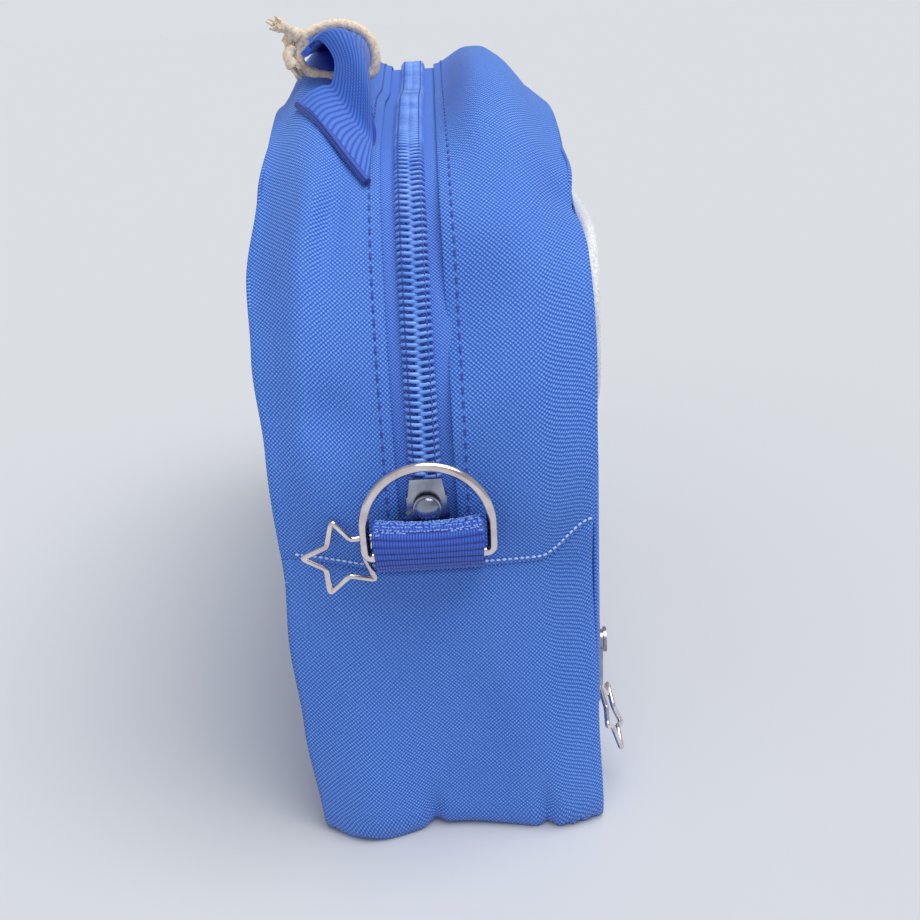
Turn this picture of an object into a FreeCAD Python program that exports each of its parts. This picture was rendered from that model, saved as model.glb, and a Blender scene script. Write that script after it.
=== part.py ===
import FreeCAD, Part
import os
import re
import Sketcher

# A soft insulated lunch bag, closed, standing on its base. Millimetres, +Z up.
# X runs along the bag, the near end is -X, the front faces -Y, the base rests on Z = 0.

doc = FreeCAD.newDocument("lunch_bag")
dims = doc.addObject("Spreadsheet::Sheet", "dims")

sizes = {
    # bag
    "bag_length": 225,
    "bag_height": 173,
    "end_depth": 66,
    "panel_crown": 3.5,
    "top_radius": 86,
    "seam_drop": 18,
    "fold_rise": 26,
    "zip_sag": 10,
    "edge_sag": 13,
    "sag_turn": 45,
    "front_crest": 14,
    "base_radius": 10,
    "fabric_thick": 1.0,
    "lining_thick": 3.5,
    "layer_gap": 0.05,
    "fold_gap": 0.3,
    # main zip
    "zip_offset": 2.5,
    "zip_window": 12.5,
    "seam_margin": 1,
    "tape_width": 14,
    "tape_thick": 0.5,
    "coil_width": 2.6,
    "coil_height": 2.0,
    "coil_part": 0.9,
    "coil_reach": 9,
    "stop_length": 2.2,
    "stop_gap": 0.5,
    # slider and pull
    "slider_rise": 17.5,
    "slider_width": 9.4,
    "slider_length": 12.5,
    "slider_rear": 6.8,
    "plate_thick": 0.9,
    "plate_gap": 0.2,
    "under_gap": 0.5,
    "post_thick": 0.5,
    "post_length": 3,
    "flange_thick": 1.1,
    "swivel_post": 2.2,
    "crown_width": 6,
    "crown_thick": 0.7,
    "eye_gap": 0.12,
    "link_thick": 0.7,
    "link_width": 1.9,
    "eye_width": 4.8,
    "star_radius": 9,
    "star_waist": 4.5,
    "star_wire": 1.2,
    "pull_length": 21.6,
    "pull_slope": 30,
    # rings and tabs
    "ring_inner": 24.6,
    "ring_wire": 2.2,
    "ring_rise": 20,
    "ring_corner": 1.4,
    "bar_drop": 9,
    "tab_width": 23,
    "tab_slot": 5,
    "webbing": 1.3,
    "bar_play": 0.2,
    "tab_stand": 4,
    # handle
    "handle_offset": 21.5,
    "strap_width": 25,
    "strap_thick": 1.4,
    "end_length": 22,
    "end_gap": 1.1,
    "handle_reach": 62,
    "grip_width": 12.5,
    "grip_thick": 3.2,
    "grip_rise": 14.5,
    "grip_foot": 4.5,
    "grip_bend": 8,
    "grip_lean": 15,
    "grip_play": 0.3,
    "neck_width": 3,
    "roll_width": 2.6,
    "roll_length": 7,
    "tie_cord": 3,
    "tie_play": 0.4,
    "tie_bend": 2.7,
    "tail_offset": 1.8,
    "tie_inset": 12,
    "knot_width": 8,
    "tail_length": 13,
    "tail_spread": 40,
    # front decoration
    "patch_margin": 8,
    "patch_height": 36,
    "patch_fold_margin": 5,
    "patch_thick": 5,
    "piping": 3.2,
    "lower_patch_foot": 22,
    "patch_zip_gap": 2,
    "patch_radius": 10,
    # front pocket
    "pocket_depth": 5,
    "pouch_thick": 0.4,
    "pocket_gap": 1,
    "pocket_foot": 34,
    "pocket_fold_gap": 8,
    "pocket_slider_gap": 1.75,
    "pocket_margin": 4,
}
for row, (name, value) in enumerate(sizes.items(), start=1):
    dims.set(f"A{row}", name)
    dims.set(f"B{row}", str(value))
    dims.setAlias(f"B{row}", name)
doc.recompute()


def bound(text):
    # The same formula with every size read from the sheet.
    return re.sub(r"[a-z_]+", lambda word: f"dims.{word[0]}" if word[0] in sizes else word[0], text)


def number(text):
    return float(dims.evalExpression(bound(text)))


# Formulas that several pieces share
corner_x = "(bag_length / 2 - top_radius)"
shoulder_z = "(bag_height - top_radius)"
seam_z = f"({shoulder_z} - seam_drop)"
fold_z = f"({seam_z} + fold_rise)"
base_x = f"({corner_x} + sqrt(top_radius^2 - seam_drop^2))"
crown_radius = "((bag_length^2 / 4 + panel_crown^2) / (2 * panel_crown))"
front_y = "(end_depth / 2 + panel_crown)"
lining_in = "(fabric_thick + layer_gap)"
lining_out = "(fabric_thick + layer_gap + lining_thick)"
tape_in = "(fabric_thick + layer_gap)"
coil_top = f"(coil_height - {tape_in})"
plate_low = f"({coil_top} + plate_gap)"
plate_top = f"({plate_low} + plate_thick)"
link_low = f"({plate_top} + eye_gap)"
link_mid = f"({link_low} + link_thick / 2)"
crown_low = f"({link_low} + link_thick + eye_gap)"
slot_half = "(ring_wire / 2 + bar_play)"
tab_out = f"(tab_stand + webbing + {slot_half})"
slider_drop = "(asin((seam_drop - slider_rise) / top_radius) / 1 deg)"
nodes = {}


def keep(label, thing):
    thing.Label = label
    nodes[label] = thing
    return thing


def make(kind, name, **values):
    # A document object with its sizes given as formulas.
    thing = doc.addObject(kind, name)
    for key, formula in values.items():
        thing.setExpression(key, bound(formula))
    return thing


def place(thing, x="0", y="0", z="0"):
    for axis, formula in zip("xyz", (x, y, z)):
        thing.setExpression(f"Placement.Base.{axis}", bound(formula))
    return thing


def turn(thing, axis, degrees):
    # A turn by a positive angle about the given axis through the thing's own origin.
    spin = FreeCAD.Rotation(FreeCAD.Vector(*axis), number(degrees))
    thing.Placement = FreeCAD.Placement(thing.Placement.Base, spin)
    thing.setExpression("Placement.Rotation.Angle", bound(degrees))
    return thing


def join(kind, name, shapes):
    thing = doc.addObject(kind, name)
    thing.Shapes = shapes
    thing.Refine = False
    return thing


def cut(name, base, tool):
    thing = doc.addObject("Part::Cut", name)
    thing.Base = base
    thing.Tool = tool
    return thing


def common(name, *shapes):
    return join("Part::MultiCommon", name, list(shapes))


def mirrored(name, source):
    thing = doc.addObject("Part::Mirroring", name)
    thing.Source = source
    thing.Normal = FreeCAD.Vector(1, 0, 0)
    return thing


def sketch_on(body, role, name, offset="0", slope=None):
    # A sketch on one of the body's own planes, raised by an offset and turned downhill by a slope.
    sketch = body.newObject("Sketcher::SketchObject", name)
    plane = [part for part in body.Origin.OriginFeatures if part.Role == role][0]
    sketch.AttachmentSupport = [(plane, "")]
    sketch.MapMode = "FlatFace"
    if slope:
        spin = FreeCAD.Rotation(FreeCAD.Vector(0, 0, -1), number(slope))
        sketch.AttachmentOffset = FreeCAD.Placement(FreeCAD.Vector(), spin)
        sketch.setExpression("AttachmentOffset.Rotation.Angle", bound(slope))
    sketch.setExpression("AttachmentOffset.Base.z", bound(offset))
    return sketch


def hold(sketch, kind, geometry, point, formula):
    # Holds one coordinate of a point at a formula's value, measured from the sketch's origin.
    if formula == "0":
        line = -2 if kind == "DistanceX" else -1
        sketch.addConstraint(Sketcher.Constraint("PointOnObject", geometry, point, line))
        return
    rule = Sketcher.Constraint(kind, -1, 1, geometry, point, number(formula))
    index = sketch.addConstraint(rule)
    name = f"{kind[-1].lower()}_{index}"
    sketch.renameConstraint(index, name)
    sketch.setExpression(f"Constraints.{name}", bound(formula))


def arc_between(start, end, centre, turn_left):
    first, last = (start, end) if turn_left else (end, start)
    circle = Part.Circle(centre, FreeCAD.Vector(0, 0, 1), (start - centre).Length)
    return Part.ArcOfCircle(circle, circle.parameter(first), circle.parameter(last))


def trace(sketch, corners):
    # A closed outline. A corner is (x, y) after a straight run, or
    # (x, y, held coordinate, centre x, centre y, turns left) after an arc.
    count = len(corners)
    spots = [FreeCAD.Vector(number(c[0]), number(c[1]), 0) for c in corners]
    ends = []
    for i in range(count):
        goal = corners[(i + 1) % count]
        start, end = spots[i], spots[(i + 1) % count]
        if len(goal) == 2:
            index = sketch.addGeometry(Part.LineSegment(start, end))
            ends.append((index, 1, 2))
            continue
        centre = FreeCAD.Vector(number(goal[3]), number(goal[4]), 0)
        index = sketch.addGeometry(arc_between(start, end, centre, goal[5]))
        ends.append((index, 1, 2) if goal[5] else (index, 2, 1))
        hold(sketch, "DistanceX", index, 3, goal[3])
        hold(sketch, "DistanceY", index, 3, goal[4])
    for i in range(count):
        index, first, last = ends[i]
        after, after_first, _ = ends[(i + 1) % count]
        sketch.addConstraint(Sketcher.Constraint("Coincident", index, last, after, after_first))
        held = corners[i][2] if len(corners[i]) > 2 else "xy"
        if "x" in held:
            hold(sketch, "DistanceX", index, first, corners[i][0])
        if "y" in held:
            hold(sketch, "DistanceY", index, first, corners[i][1])


def ring_of(sketch, x, y, diameter):
    # A full circle about (x, y).
    spot = FreeCAD.Vector(number(x), number(y), 0)
    circle = Part.Circle(spot, FreeCAD.Vector(0, 0, 1), number(diameter) / 2)
    index = sketch.addGeometry(circle)
    hold(sketch, "DistanceX", index, 3, x)
    hold(sketch, "DistanceY", index, 3, y)
    rule = sketch.addConstraint(Sketcher.Constraint("Diameter", index, number(diameter)))
    sketch.renameConstraint(rule, f"width_{rule}")
    sketch.setExpression(f"Constraints.width_{rule}", bound(diameter))


def box_outline(left, low, right, high):
    return [(left, low), (right, low), (right, high), (left, high)]


def round_box(left, low, right, high, radius):
    # A rectangle with rounded corners, from the left side's lower end.
    return [
        (left, f"{low} + {radius}"),
        (f"{left} + {radius}", low, "x", f"{left} + {radius}", f"{low} + {radius}", True),
        (f"{right} - {radius}", low),
        (right, f"{low} + {radius}", "y", f"{right} - {radius}", f"{low} + {radius}", True),
        (right, f"{high} - {radius}"),
        (f"{right} - {radius}", high, "x", f"{right} - {radius}", f"{high} - {radius}", True),
        (f"{left} + {radius}", high),
        (left, f"{high} - {radius}", "y", f"{left} + {radius}", f"{high} - {radius}", True),
    ]


def raise_pad(body, sketch, length, middle=False, back=False):
    pad = body.newObject("PartDesign::Pad", f"{sketch.Name}_pad")
    pad.Profile = sketch
    pad.SideType = "Symmetric" if middle else "One side"
    pad.Reversed = back
    pad.setExpression("Length", bound(length))
    return pad


def padded_body(name, role, outlines, length, offset="0", middle=False, back=False, slope=None):
    body = doc.addObject("PartDesign::Body", name)
    sketch = sketch_on(body, role, f"{name}_sketch", offset, slope)
    for outline in outlines:
        trace(sketch, outline)
    raise_pad(body, sketch, length, middle, back)
    return body


def reach(inset, level):
    # How far from the middle the rounded end stands at a level, at some depth under its surface.
    return f"({corner_x} + sqrt((top_radius - {inset})^2 - ({shoulder_z} - {level})^2))"


def top_run(inset, sag):
    # The top from shoulder to shoulder. Where it is sunk, it leaves each shoulder by a tighter arc.
    tight = f"({sag} / (1 - cos(sag_turn * 1 deg)))"
    start_x = f"({corner_x} + (top_radius - {inset}) * sin(sag_turn * 1 deg))"
    start_z = f"({shoulder_z} + (top_radius - {inset}) * cos(sag_turn * 1 deg))"
    mid_x = f"({corner_x} + {tight} * sin(sag_turn * 1 deg))"
    mid_z = f"({shoulder_z} + {tight} * cos(sag_turn * 1 deg))"
    top = f"(bag_height - {sag} - {inset})"
    return [
        (start_x, start_z, "x", corner_x, shoulder_z, True),
        (mid_x, top, "x", mid_x, mid_z, True),
        (f"-{mid_x}", top),
        (f"-{start_x}", start_z, "x", f"-{mid_x}", mid_z, True),
    ]


def outline(inset):
    # The bag seen from the front: a block with a rounded base, and a round-shouldered top above the seam.
    side = f"({base_x} - {inset})"
    kink = f"({shoulder_z} - sqrt((top_radius - {inset})^2 - ({side} - {corner_x})^2))"
    foot = f"({base_x} - base_radius)"
    return [
        (f"-{side}", "base_radius"),
        (f"-{foot}", inset, "x", f"-{foot}", "base_radius", True),
        (foot, inset),
        (side, "base_radius", "y", foot, "base_radius", True),
        (side, kink),
        *top_run(inset, "edge_sag"),
        (f"-{side}", kink, "y", f"-{corner_x}", shoulder_z, True),
    ]


def over_band(outer, inner, level, sag):
    # A band over the top, between two depths under the surface, down to a level at both ends.
    far, near = reach(outer, level), reach(inner, level)
    first, second, third, fourth = top_run(inner, sag)
    mid_x, mid_z = second[3:5]
    return [
        (far, level),
        *top_run(outer, sag),
        (f"-{far}", level, "y", f"-{corner_x}", shoulder_z, True),
        (f"-{near}", level),
        (*fourth[:2], "x", f"-{corner_x}", shoulder_z, False),
        (*third, "x", f"-{mid_x}", mid_z, False),
        second[:2],
        (*first[:2], "x", mid_x, mid_z, False),
        (near, level, "y", corner_x, shoulder_z, False),
    ]


def under_band(outer, inner, level):
    # A band under the base, between two depths, up to a level at both ends.
    foot = f"({base_x} - base_radius)"
    far, near = f"({base_x} - {outer})", f"({base_x} - {inner})"
    return [
        (f"-{far}", level),
        (f"-{far}", "base_radius"),
        (f"-{foot}", outer, "x", f"-{foot}", "base_radius", True),
        (foot, outer),
        (far, "base_radius", "y", foot, "base_radius", True),
        (far, level),
        (near, level),
        (near, "base_radius"),
        (foot, inner, "x", foot, "base_radius", False),
        (f"-{foot}", inner),
        (f"-{near}", "base_radius", "y", f"-{foot}", "base_radius", False),
        (f"-{near}", level),
    ]


# Solids that the panels are cut with

def crown(name, inset, side):
    # The upright cylinder whose face is the swelling front (-1) or back (1) of the bag.
    drum = make(
        "Part::Cylinder",
        name,
        Radius=f"{crown_radius} - {inset}",
        Height="2 * bag_height",
    )
    return place(drum, y=f"{side} * ({front_y} - {crown_radius})", z="-bag_height / 2")


def lens(name, inset):
    return common(name, crown(f"{name}_front", inset, -1), crown(f"{name}_back", inset, 1))


def slab(name, low, high):
    # Everything between two levels.
    block = make(
        "Part::Box",
        name,
        Length="2 * bag_length",
        Width="4 * end_depth",
        Height=f"{high} - {low}",
    )
    return place(block, x="-bag_length", y="-2 * end_depth", z=low)


above_fold = slab("above_fold", f"({fold_z} + fold_gap / 2)", "(2 * bag_height)")
below_fold = slab("below_fold", "(-bag_height)", f"({fold_z} - fold_gap / 2)")
between_panels = lens("between_panels", lining_in)
inside_linings = lens("inside_linings", f"({lining_out} + layer_gap)")


def plate(name, outlines, outer, inner, side):
    # A sheet of some outline that follows the bag's swelling front or back, between two depths.
    blank = padded_body(f"{name}_blank", "XZ_Plane", outlines, "end_depth", back=side > 0)
    skin = common(f"{name}_skin", blank, crown(f"{name}_outer", outer, side))
    return cut(name, skin, crown(f"{name}_inner", inner, side))


# Back panel and its lining
keep("back_panel", plate("back_sheet", [outline("0")], "0", "fabric_thick", 1))
keep("back_lining", plate("back_foam", [outline(lining_in)], lining_in, lining_out, 1))

# Front panel and its lining, parted at the fold line. The lower lining stands back behind the pocket.
front_sheet = plate("front_sheet", [outline("0")], "0", "fabric_thick", -1)
keep("front_upper_panel", common("front_upper", front_sheet, above_fold))
front_lower = common("front_lower", front_sheet, below_fold)
front_foam = plate("front_foam", [outline(lining_in)], lining_in, lining_out, -1)
keep("front_upper_lining", common("front_upper_foam", front_foam, above_fold))
inner_edge = f"({lining_out} + layer_gap)"
pouch_in = "(fabric_thick + pocket_depth)"
pouch_out = f"({pouch_in} + pouch_thick)"
deep_in = f"({pouch_out} + layer_gap)"
deep_foam = plate("deep_foam", [outline(inner_edge)], deep_in, f"({deep_in} + lining_thick)", -1)
keep("front_lower_lining", common("front_lower_foam", deep_foam, below_fold))
pouch = plate("pouch", [outline(inner_edge)], pouch_in, pouch_out, -1)
keep("pocket_pouch", common("pouch_sheet", pouch, below_fold))


zip_edge = "(zip_window / 2)"
seam_top = f"({seam_z} + layer_gap)"
foam_edge = "(tape_width + seam_margin)"


def zip_strip(name, outer, inner, start, level, side):
    # A band on the back (1) or front (-1) side of the zip. It rises from the zip to a crest, then falls away.
    peak = "handle_offset - zip_offset" if side > 0 else "front_crest + zip_offset"
    crest = f"max({peak}; {foam_edge} + seam_margin)"
    places = [
        (f"(zip_offset + {side} * {start})", f"(zip_sag * ({crest} - {start}) / ({crest} - {zip_edge}))"),
        (f"(zip_offset + {side} * {crest})", "0"),
        (f"({side} * {front_y})", "edge_sag"),
    ]
    body = doc.addObject("PartDesign::Body", name)
    sections = []
    for across, sag in places:
        section = sketch_on(body, "XZ_Plane", f"{name}_section", f"-{across}")
        trace(section, over_band(outer, inner, level, sag))
        sections.append(section)
    loft = body.newObject("PartDesign::AdditiveLoft", f"{name}_loft")
    loft.Profile = sections[0]
    loft.Sections = sections[1:]
    loft.Ruled = True
    return body


# Fabric strips beside the zip, with their linings
back_band = zip_strip("back_band", "0", "fabric_thick", zip_edge, seam_top, 1)
keep("back_zip_strip", common("back_strip", back_band, between_panels))
foam_foot = f"({seam_z} + lining_thick / 2)"
back_padding = zip_strip("back_padding", lining_in, lining_out, foam_edge, foam_foot, 1)
keep("back_strip_lining", common("back_strip_foam", back_padding, inside_linings))
front_band = zip_strip("front_band", "0", "fabric_thick", zip_edge, seam_top, -1)
front_strip = common("front_strip", front_band, between_panels)
keep("front_zip_strip", common("front_strip_top", front_strip, above_fold))
keep("front_strip_ends", common("front_strip_foot", front_strip, below_fold))
front_padding = zip_strip("front_padding", lining_in, lining_out, foam_edge, foam_foot, -1)
front_foam_strip = common("front_foam_strip", front_padding, inside_linings)
keep("front_strip_lining", common("front_foam_top", front_foam_strip, above_fold))
keep("front_strip_end_linings", common("front_foam_foot", front_foam_strip, below_fold))

# Base gusset and its lining
base_top = f"({seam_z} - layer_gap)"
base_band = padded_body(
    "base_band", "XZ_Plane", [under_band("0", "fabric_thick", base_top)], "2 * end_depth", middle=True
)
keep("base_gusset", common("base_skin", base_band, between_panels))
base_padding = padded_body(
    "base_padding", "XZ_Plane", [under_band(lining_in, lining_out, base_top)], "2 * end_depth", middle=True
)
keep("base_lining", common("base_foam", base_padding, inside_linings))


def zip_side(name, outer, inner, level, near, far, side):
    # An even band on the back (1) or front (-1) side of the zip, between two distances from its middle.
    high = f"(zip_offset + {far})" if side > 0 else f"(zip_offset - {near})"
    body = padded_body(name, "XZ_Plane", [over_band(outer, inner, level, "zip_sag")], f"{far} - {near}")
    return place(body, y=high)


# Main zip: tapes under the strips, coils on the tapes, and a stop at each end of the chain
tape_edge = "(coil_part / 2)"
coil_edge = "(coil_part / 2 + coil_width)"
tape_out = f"({tape_in} + tape_thick)"
coil_low = f"({tape_in} - layer_gap / 2)"
coil_high = f"(-{coil_top})"
coil_level = f"({shoulder_z} - top_radius * sin({slider_drop} * 1 deg + coil_reach / top_radius * 1 rad))"
keep("zip_tape_back", zip_side("tape_back", tape_in, tape_out, seam_top, tape_edge, "tape_width", 1))
keep("zip_coil_back", zip_side("coil_back", coil_high, coil_low, coil_level, tape_edge, coil_edge, 1))
tape_front = zip_side("tape_front", tape_in, tape_out, seam_top, tape_edge, "tape_width", -1)
coil_front = zip_side("coil_front", coil_high, coil_low, coil_level, tape_edge, coil_edge, -1)
keep("zip_tape_front", common("tape_front_top", tape_front, above_fold))
keep("zip_coil_front", common("coil_front_top", coil_front, above_fold))
keep("zip_tape_front_ends", common("tape_front_foot", tape_front, below_fold))
keep("zip_coil_front_ends", common("coil_front_foot", coil_front, below_fold))


def on_end(thing, out, along, drop=slider_drop):
    # Stands a piece on the near end: its -X points out of the bag, its +Z up along the zip.
    span = f"(top_radius + {out})"
    turn(thing, (0, -1, 0), drop)
    return place(
        thing,
        x=f"-{corner_x} - {span} * cos({drop} * 1 deg) - {along} * sin({drop} * 1 deg)",
        y="zip_offset",
        z=f"{shoulder_z} - {span} * sin({drop} * 1 deg) + {along} * cos({drop} * 1 deg)",
    )


stop_reach = "(coil_reach + stop_gap + stop_length / 2)"
stop_drop = f"({slider_drop} + {stop_reach} / top_radius * 180 / pi)"
near_stop = padded_body(
    "near_stop",
    "YZ_Plane",
    [box_outline(f"-{coil_edge}", "-stop_length / 2", coil_edge, "stop_length / 2")],
    "coil_height - layer_gap",
    offset=coil_high,
)
keep("near_zip_stop", on_end(near_stop, "0", "0", stop_drop))
keep("far_zip_stop", mirrored("far_stop", near_stop))


def slider(name):
    # A slider over the coils: two plates on a thin post, side flanges, and a domed crown on a swivel post.
    body = doc.addObject("PartDesign::Body", name)
    wide, rear, long = "(slider_width / 2)", "(slider_rear / 2)", "(slider_length / 2)"
    shield = [
        (f"-{rear}", f"{long}"),
        (f"-{wide}", f"-{long} / 3"),
        (f"-{rear}", f"-{long}"),
        (rear, f"-{long}"),
        (wide, f"-{long} / 3"),
        (rear, f"{long}"),
    ]
    under_top = f"({tape_out} + under_gap)"
    top = sketch_on(body, "YZ_Plane", f"{name}_top", f"-{plate_top}")
    trace(top, shield)
    raise_pad(body, top, "plate_thick")
    post = sketch_on(body, "YZ_Plane", f"{name}_post", f"-{plate_low} - plate_thick / 2")
    trace(post, box_outline("-post_thick / 2", f"-{long}", "post_thick / 2", f"-{long} + post_length"))
    raise_pad(body, post, f"{plate_low} + {under_top} + plate_thick")
    low = sketch_on(body, "YZ_Plane", f"{name}_low", under_top)
    trace(low, shield)
    raise_pad(body, low, "plate_thick")
    for side in ("-", ""):
        flange = sketch_on(body, "YZ_Plane", f"{name}_flange", f"-{plate_low} - plate_thick / 2")
        inner, outer = f"({coil_edge} + plate_gap)", f"({coil_edge} + plate_gap + flange_thick)"
        left, right = (f"-{outer}", f"-{inner}") if side else (inner, outer)
        trace(flange, box_outline(left, f"-{long} * 2 / 3", right, f"{long} / 3"))
        raise_pad(body, flange, f"{plate_low} + plate_thick / 2 + {tape_in} - plate_gap")
    swivel = sketch_on(body, "YZ_Plane", f"{name}_swivel", f"-{crown_low} - crown_thick / 2")
    ring_of(swivel, "0", "0", "swivel_post")
    raise_pad(body, swivel, f"{crown_low} - {plate_top} + crown_thick")
    dome = sketch_on(body, "YZ_Plane", f"{name}_crown", f"-{crown_low} - crown_thick")
    ring_of(dome, "0", "0", "crown_width")
    raise_pad(body, dome, "crown_thick")
    return body


def link(name, slope):
    # A flat link from the eye round the swivel post to the star's nearest tip.
    body = doc.addObject("PartDesign::Body", name)
    eye = sketch_on(body, "YZ_Plane", f"{name}_eye", "-link_thick / 2", slope)
    ring_of(eye, "0", "0", "eye_width")
    ring_of(eye, "0", "0", "swivel_post + 4 * eye_gap")
    raise_pad(body, eye, "link_thick")
    bar = sketch_on(body, "YZ_Plane", f"{name}_bar", "-link_thick / 2", slope)
    bar_start, bar_end = "(eye_width / 2 - eye_gap)", "(pull_length - star_radius - eye_gap)"
    trace(bar, box_outline(bar_start, "-link_width / 2", bar_end, "link_width / 2"))
    raise_pad(body, bar, "link_thick")
    return body


def star_outline(tip, waist):
    # Five tips and five waists about the pull's far end, one tip pointing back along the link.
    points = []
    for step in range(10):
        radius = tip if step % 2 == 0 else waist
        angle = f"{180 + 36 * step} deg"
        points.append((f"pull_length + {radius} * cos({angle})", f"{radius} * sin({angle})"))
    return points


def star(name, slope):
    # A star bent from wire, drawn as a frame of even width.
    tip_angle = "atan2(star_waist * sin(36 deg); star_radius - star_waist * cos(36 deg))"
    inner_tip = f"(star_radius - star_wire / sin({tip_angle}))"
    inner_waist = f"(star_waist - star_wire / sin({tip_angle} + 36 deg))"
    outlines = [star_outline("star_radius", "star_waist"), star_outline(inner_tip, inner_waist)]
    return padded_body(name, "YZ_Plane", outlines, "star_wire", "-star_wire / 2", slope=slope)


# Main slider at the foot of the zip, its star lying to the back
keep("zip_slider", on_end(slider("main_slider"), "0", "0"))
keep("zip_link", on_end(link("main_link", "pull_slope"), link_mid, "0"))
keep("zip_star", on_end(star("main_star", "pull_slope"), link_mid, "0"))


def wire_ring(name):
    # A D-shaped ring swept along its centre line.
    body = doc.addObject("PartDesign::Body", name)
    path = sketch_on(body, "YZ_Plane", f"{name}_path")
    half, bend = "((ring_inner + ring_wire) / 2)", "ring_corner"
    shoulder = f"(ring_rise - {half})"
    trace(path, [
        (f"-{half}", bend),
        (f"-{half} + {bend}", "0", "x", f"-{half} + {bend}", bend, True),
        (f"{half} - {bend}", "0"),
        (half, bend, "y", f"{half} - {bend}", bend, True),
        (half, shoulder),
        (f"-{half}", shoulder, "y", "0", shoulder, True),
    ])
    section = sketch_on(body, "XZ_Plane", f"{name}_section")
    ring_of(section, "0", "0", "ring_wire")
    pipe = body.newObject("PartDesign::AdditivePipe", f"{name}_pipe")
    pipe.Profile = section
    pipe.Spine = path
    return body


def ring_tab(name):
    # A loop of webbing round the ring's bar, on a doubled stem that comes out of the seam.
    body = doc.addObject("PartDesign::Body", name)
    wide = f"({slot_half} + webbing)"
    loop = sketch_on(body, "XZ_Plane", f"{name}_loop")
    for half in (wide, slot_half):
        trace(loop, [
            (f"-{half}", "0"),
            (half, "0", "y", "0", "0", True),
            (half, "tab_slot"),
            (f"-{half}", "tab_slot", "y", "0", "tab_slot", True),
        ])
    raise_pad(body, loop, "tab_width", middle=True)
    stem = sketch_on(body, "XZ_Plane", f"{name}_stem")
    level, upright = f"cos({slider_drop} * 1 deg)", f"sin({slider_drop} * 1 deg)"
    seam_in = f"(({base_x} - {corner_x}) * {level} + seam_drop * {upright})"
    seam_down = f"(seam_drop * {level} - ({base_x} - {corner_x}) * {upright})"
    run = f"(top_radius + {tab_out} - {seam_in})"
    fall = f"({seam_down} - bar_drop)"
    span = f"sqrt({run}^2 + {fall}^2)"
    across_x, across_y = f"(webbing * {fall} / {span})", f"(webbing * {run} / {span})"
    root, end = f"(({slot_half} + webbing / 2) / {span})", f"(1 + webbing / {span})"
    trace(stem, [
        (f"{run} * {root} - {across_x}", f"-{fall} * {root} - {across_y}"),
        (f"{run} * {end} - {across_x}", f"-{fall} * {end} - {across_y}"),
        (f"{run} * {end} + {across_x}", f"-{fall} * {end} + {across_y}"),
        (f"{run} * {root} + {across_x}", f"-{fall} * {root} + {across_y}"),
    ])
    raise_pad(body, stem, "tab_width", middle=True)
    return body


# Rings and their tabs, at the near end and mirrored at the far end.
# A tab's stem ends on the fabric at the seam.
bag_block = padded_body("bag_block", "XZ_Plane", [outline("(-layer_gap)")], "end_depth", middle=True)
near_tab = on_end(ring_tab("tab"), tab_out, "(-bar_drop)")
keep("near_ring_tab", cut("near_tab", near_tab, bag_block))
keep("far_ring_tab", mirrored("tab_far", nodes["near_ring_tab"]))
keep("near_ring", on_end(wire_ring("ring"), tab_out, "(-bar_drop)"))
keep("far_ring", mirrored("ring_far", nodes["near_ring"]))

# Handle: a flat end sewn to each corner of the back strip, and a grip folded double between them
def on_corner(radius, climb):
    x = f"-{corner_x} - {radius} * cos({climb})"
    return x, f"{shoulder_z} + {radius} * sin({climb})"


end_out, end_in = "(top_radius + layer_gap + strap_thick)", "(top_radius + layer_gap)"
climb_top = f"acos((handle_reach + roll_length / 2 + end_gap - {corner_x}) / {end_out})"
climb_low = f"({climb_top} - end_length / top_radius * 1 rad)"
corner = (f"-{corner_x}", shoulder_z)
handle_end = padded_body(
    "handle_end",
    "XZ_Plane",
    [[
        on_corner(end_out, climb_low),
        (*on_corner(end_out, climb_top), "x", *corner, False),
        on_corner(end_in, climb_top),
        (*on_corner(end_in, climb_low), "y", *corner, True),
    ]],
    "strap_width",
)
keep("handle_end_near", place(handle_end, y="handle_offset + strap_width / 2"))
keep("handle_end_far", mirrored("handle_end_other", handle_end))


def on_handle(thing, x="0"):
    # Stands a piece on the line that the handle turns about, leaning to the front with it.
    turn(thing, (1, 0, 0), "grip_lean")
    roll_end = f"(handle_reach - roll_length / 2 - {corner_x})"
    lift = f"sqrt(top_radius^2 - {roll_end}^2) + roll_width / 2 + grip_play"
    return place(thing, x=x, y="handle_offset", z=f"{shoulder_z} + {lift}")


def grip_outline(sketch):
    far, near = "(handle_reach + grip_thick / 2)", "(handle_reach - grip_thick / 2)"
    bend_x, bend_y = f"({far} - grip_bend)", "(grip_rise - grip_bend)"
    low = "(grip_rise - grip_thick)"
    trace(sketch, [
        (far, "grip_foot"),
        (far, bend_y),
        (bend_x, "grip_rise", "x", bend_x, bend_y, True),
        (f"-{bend_x}", "grip_rise"),
        (f"-{far}", bend_y, "y", f"-{bend_x}", bend_y, True),
        (f"-{far}", "grip_foot"),
        (f"-{near}", "grip_foot"),
        (f"-{near}", bend_y),
        (f"-{bend_x}", low, "x", f"-{bend_x}", bend_y, False),
        (bend_x, low),
        (near, bend_y, "y", bend_x, bend_y, False),
        (near, "grip_foot"),
    ])


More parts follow.
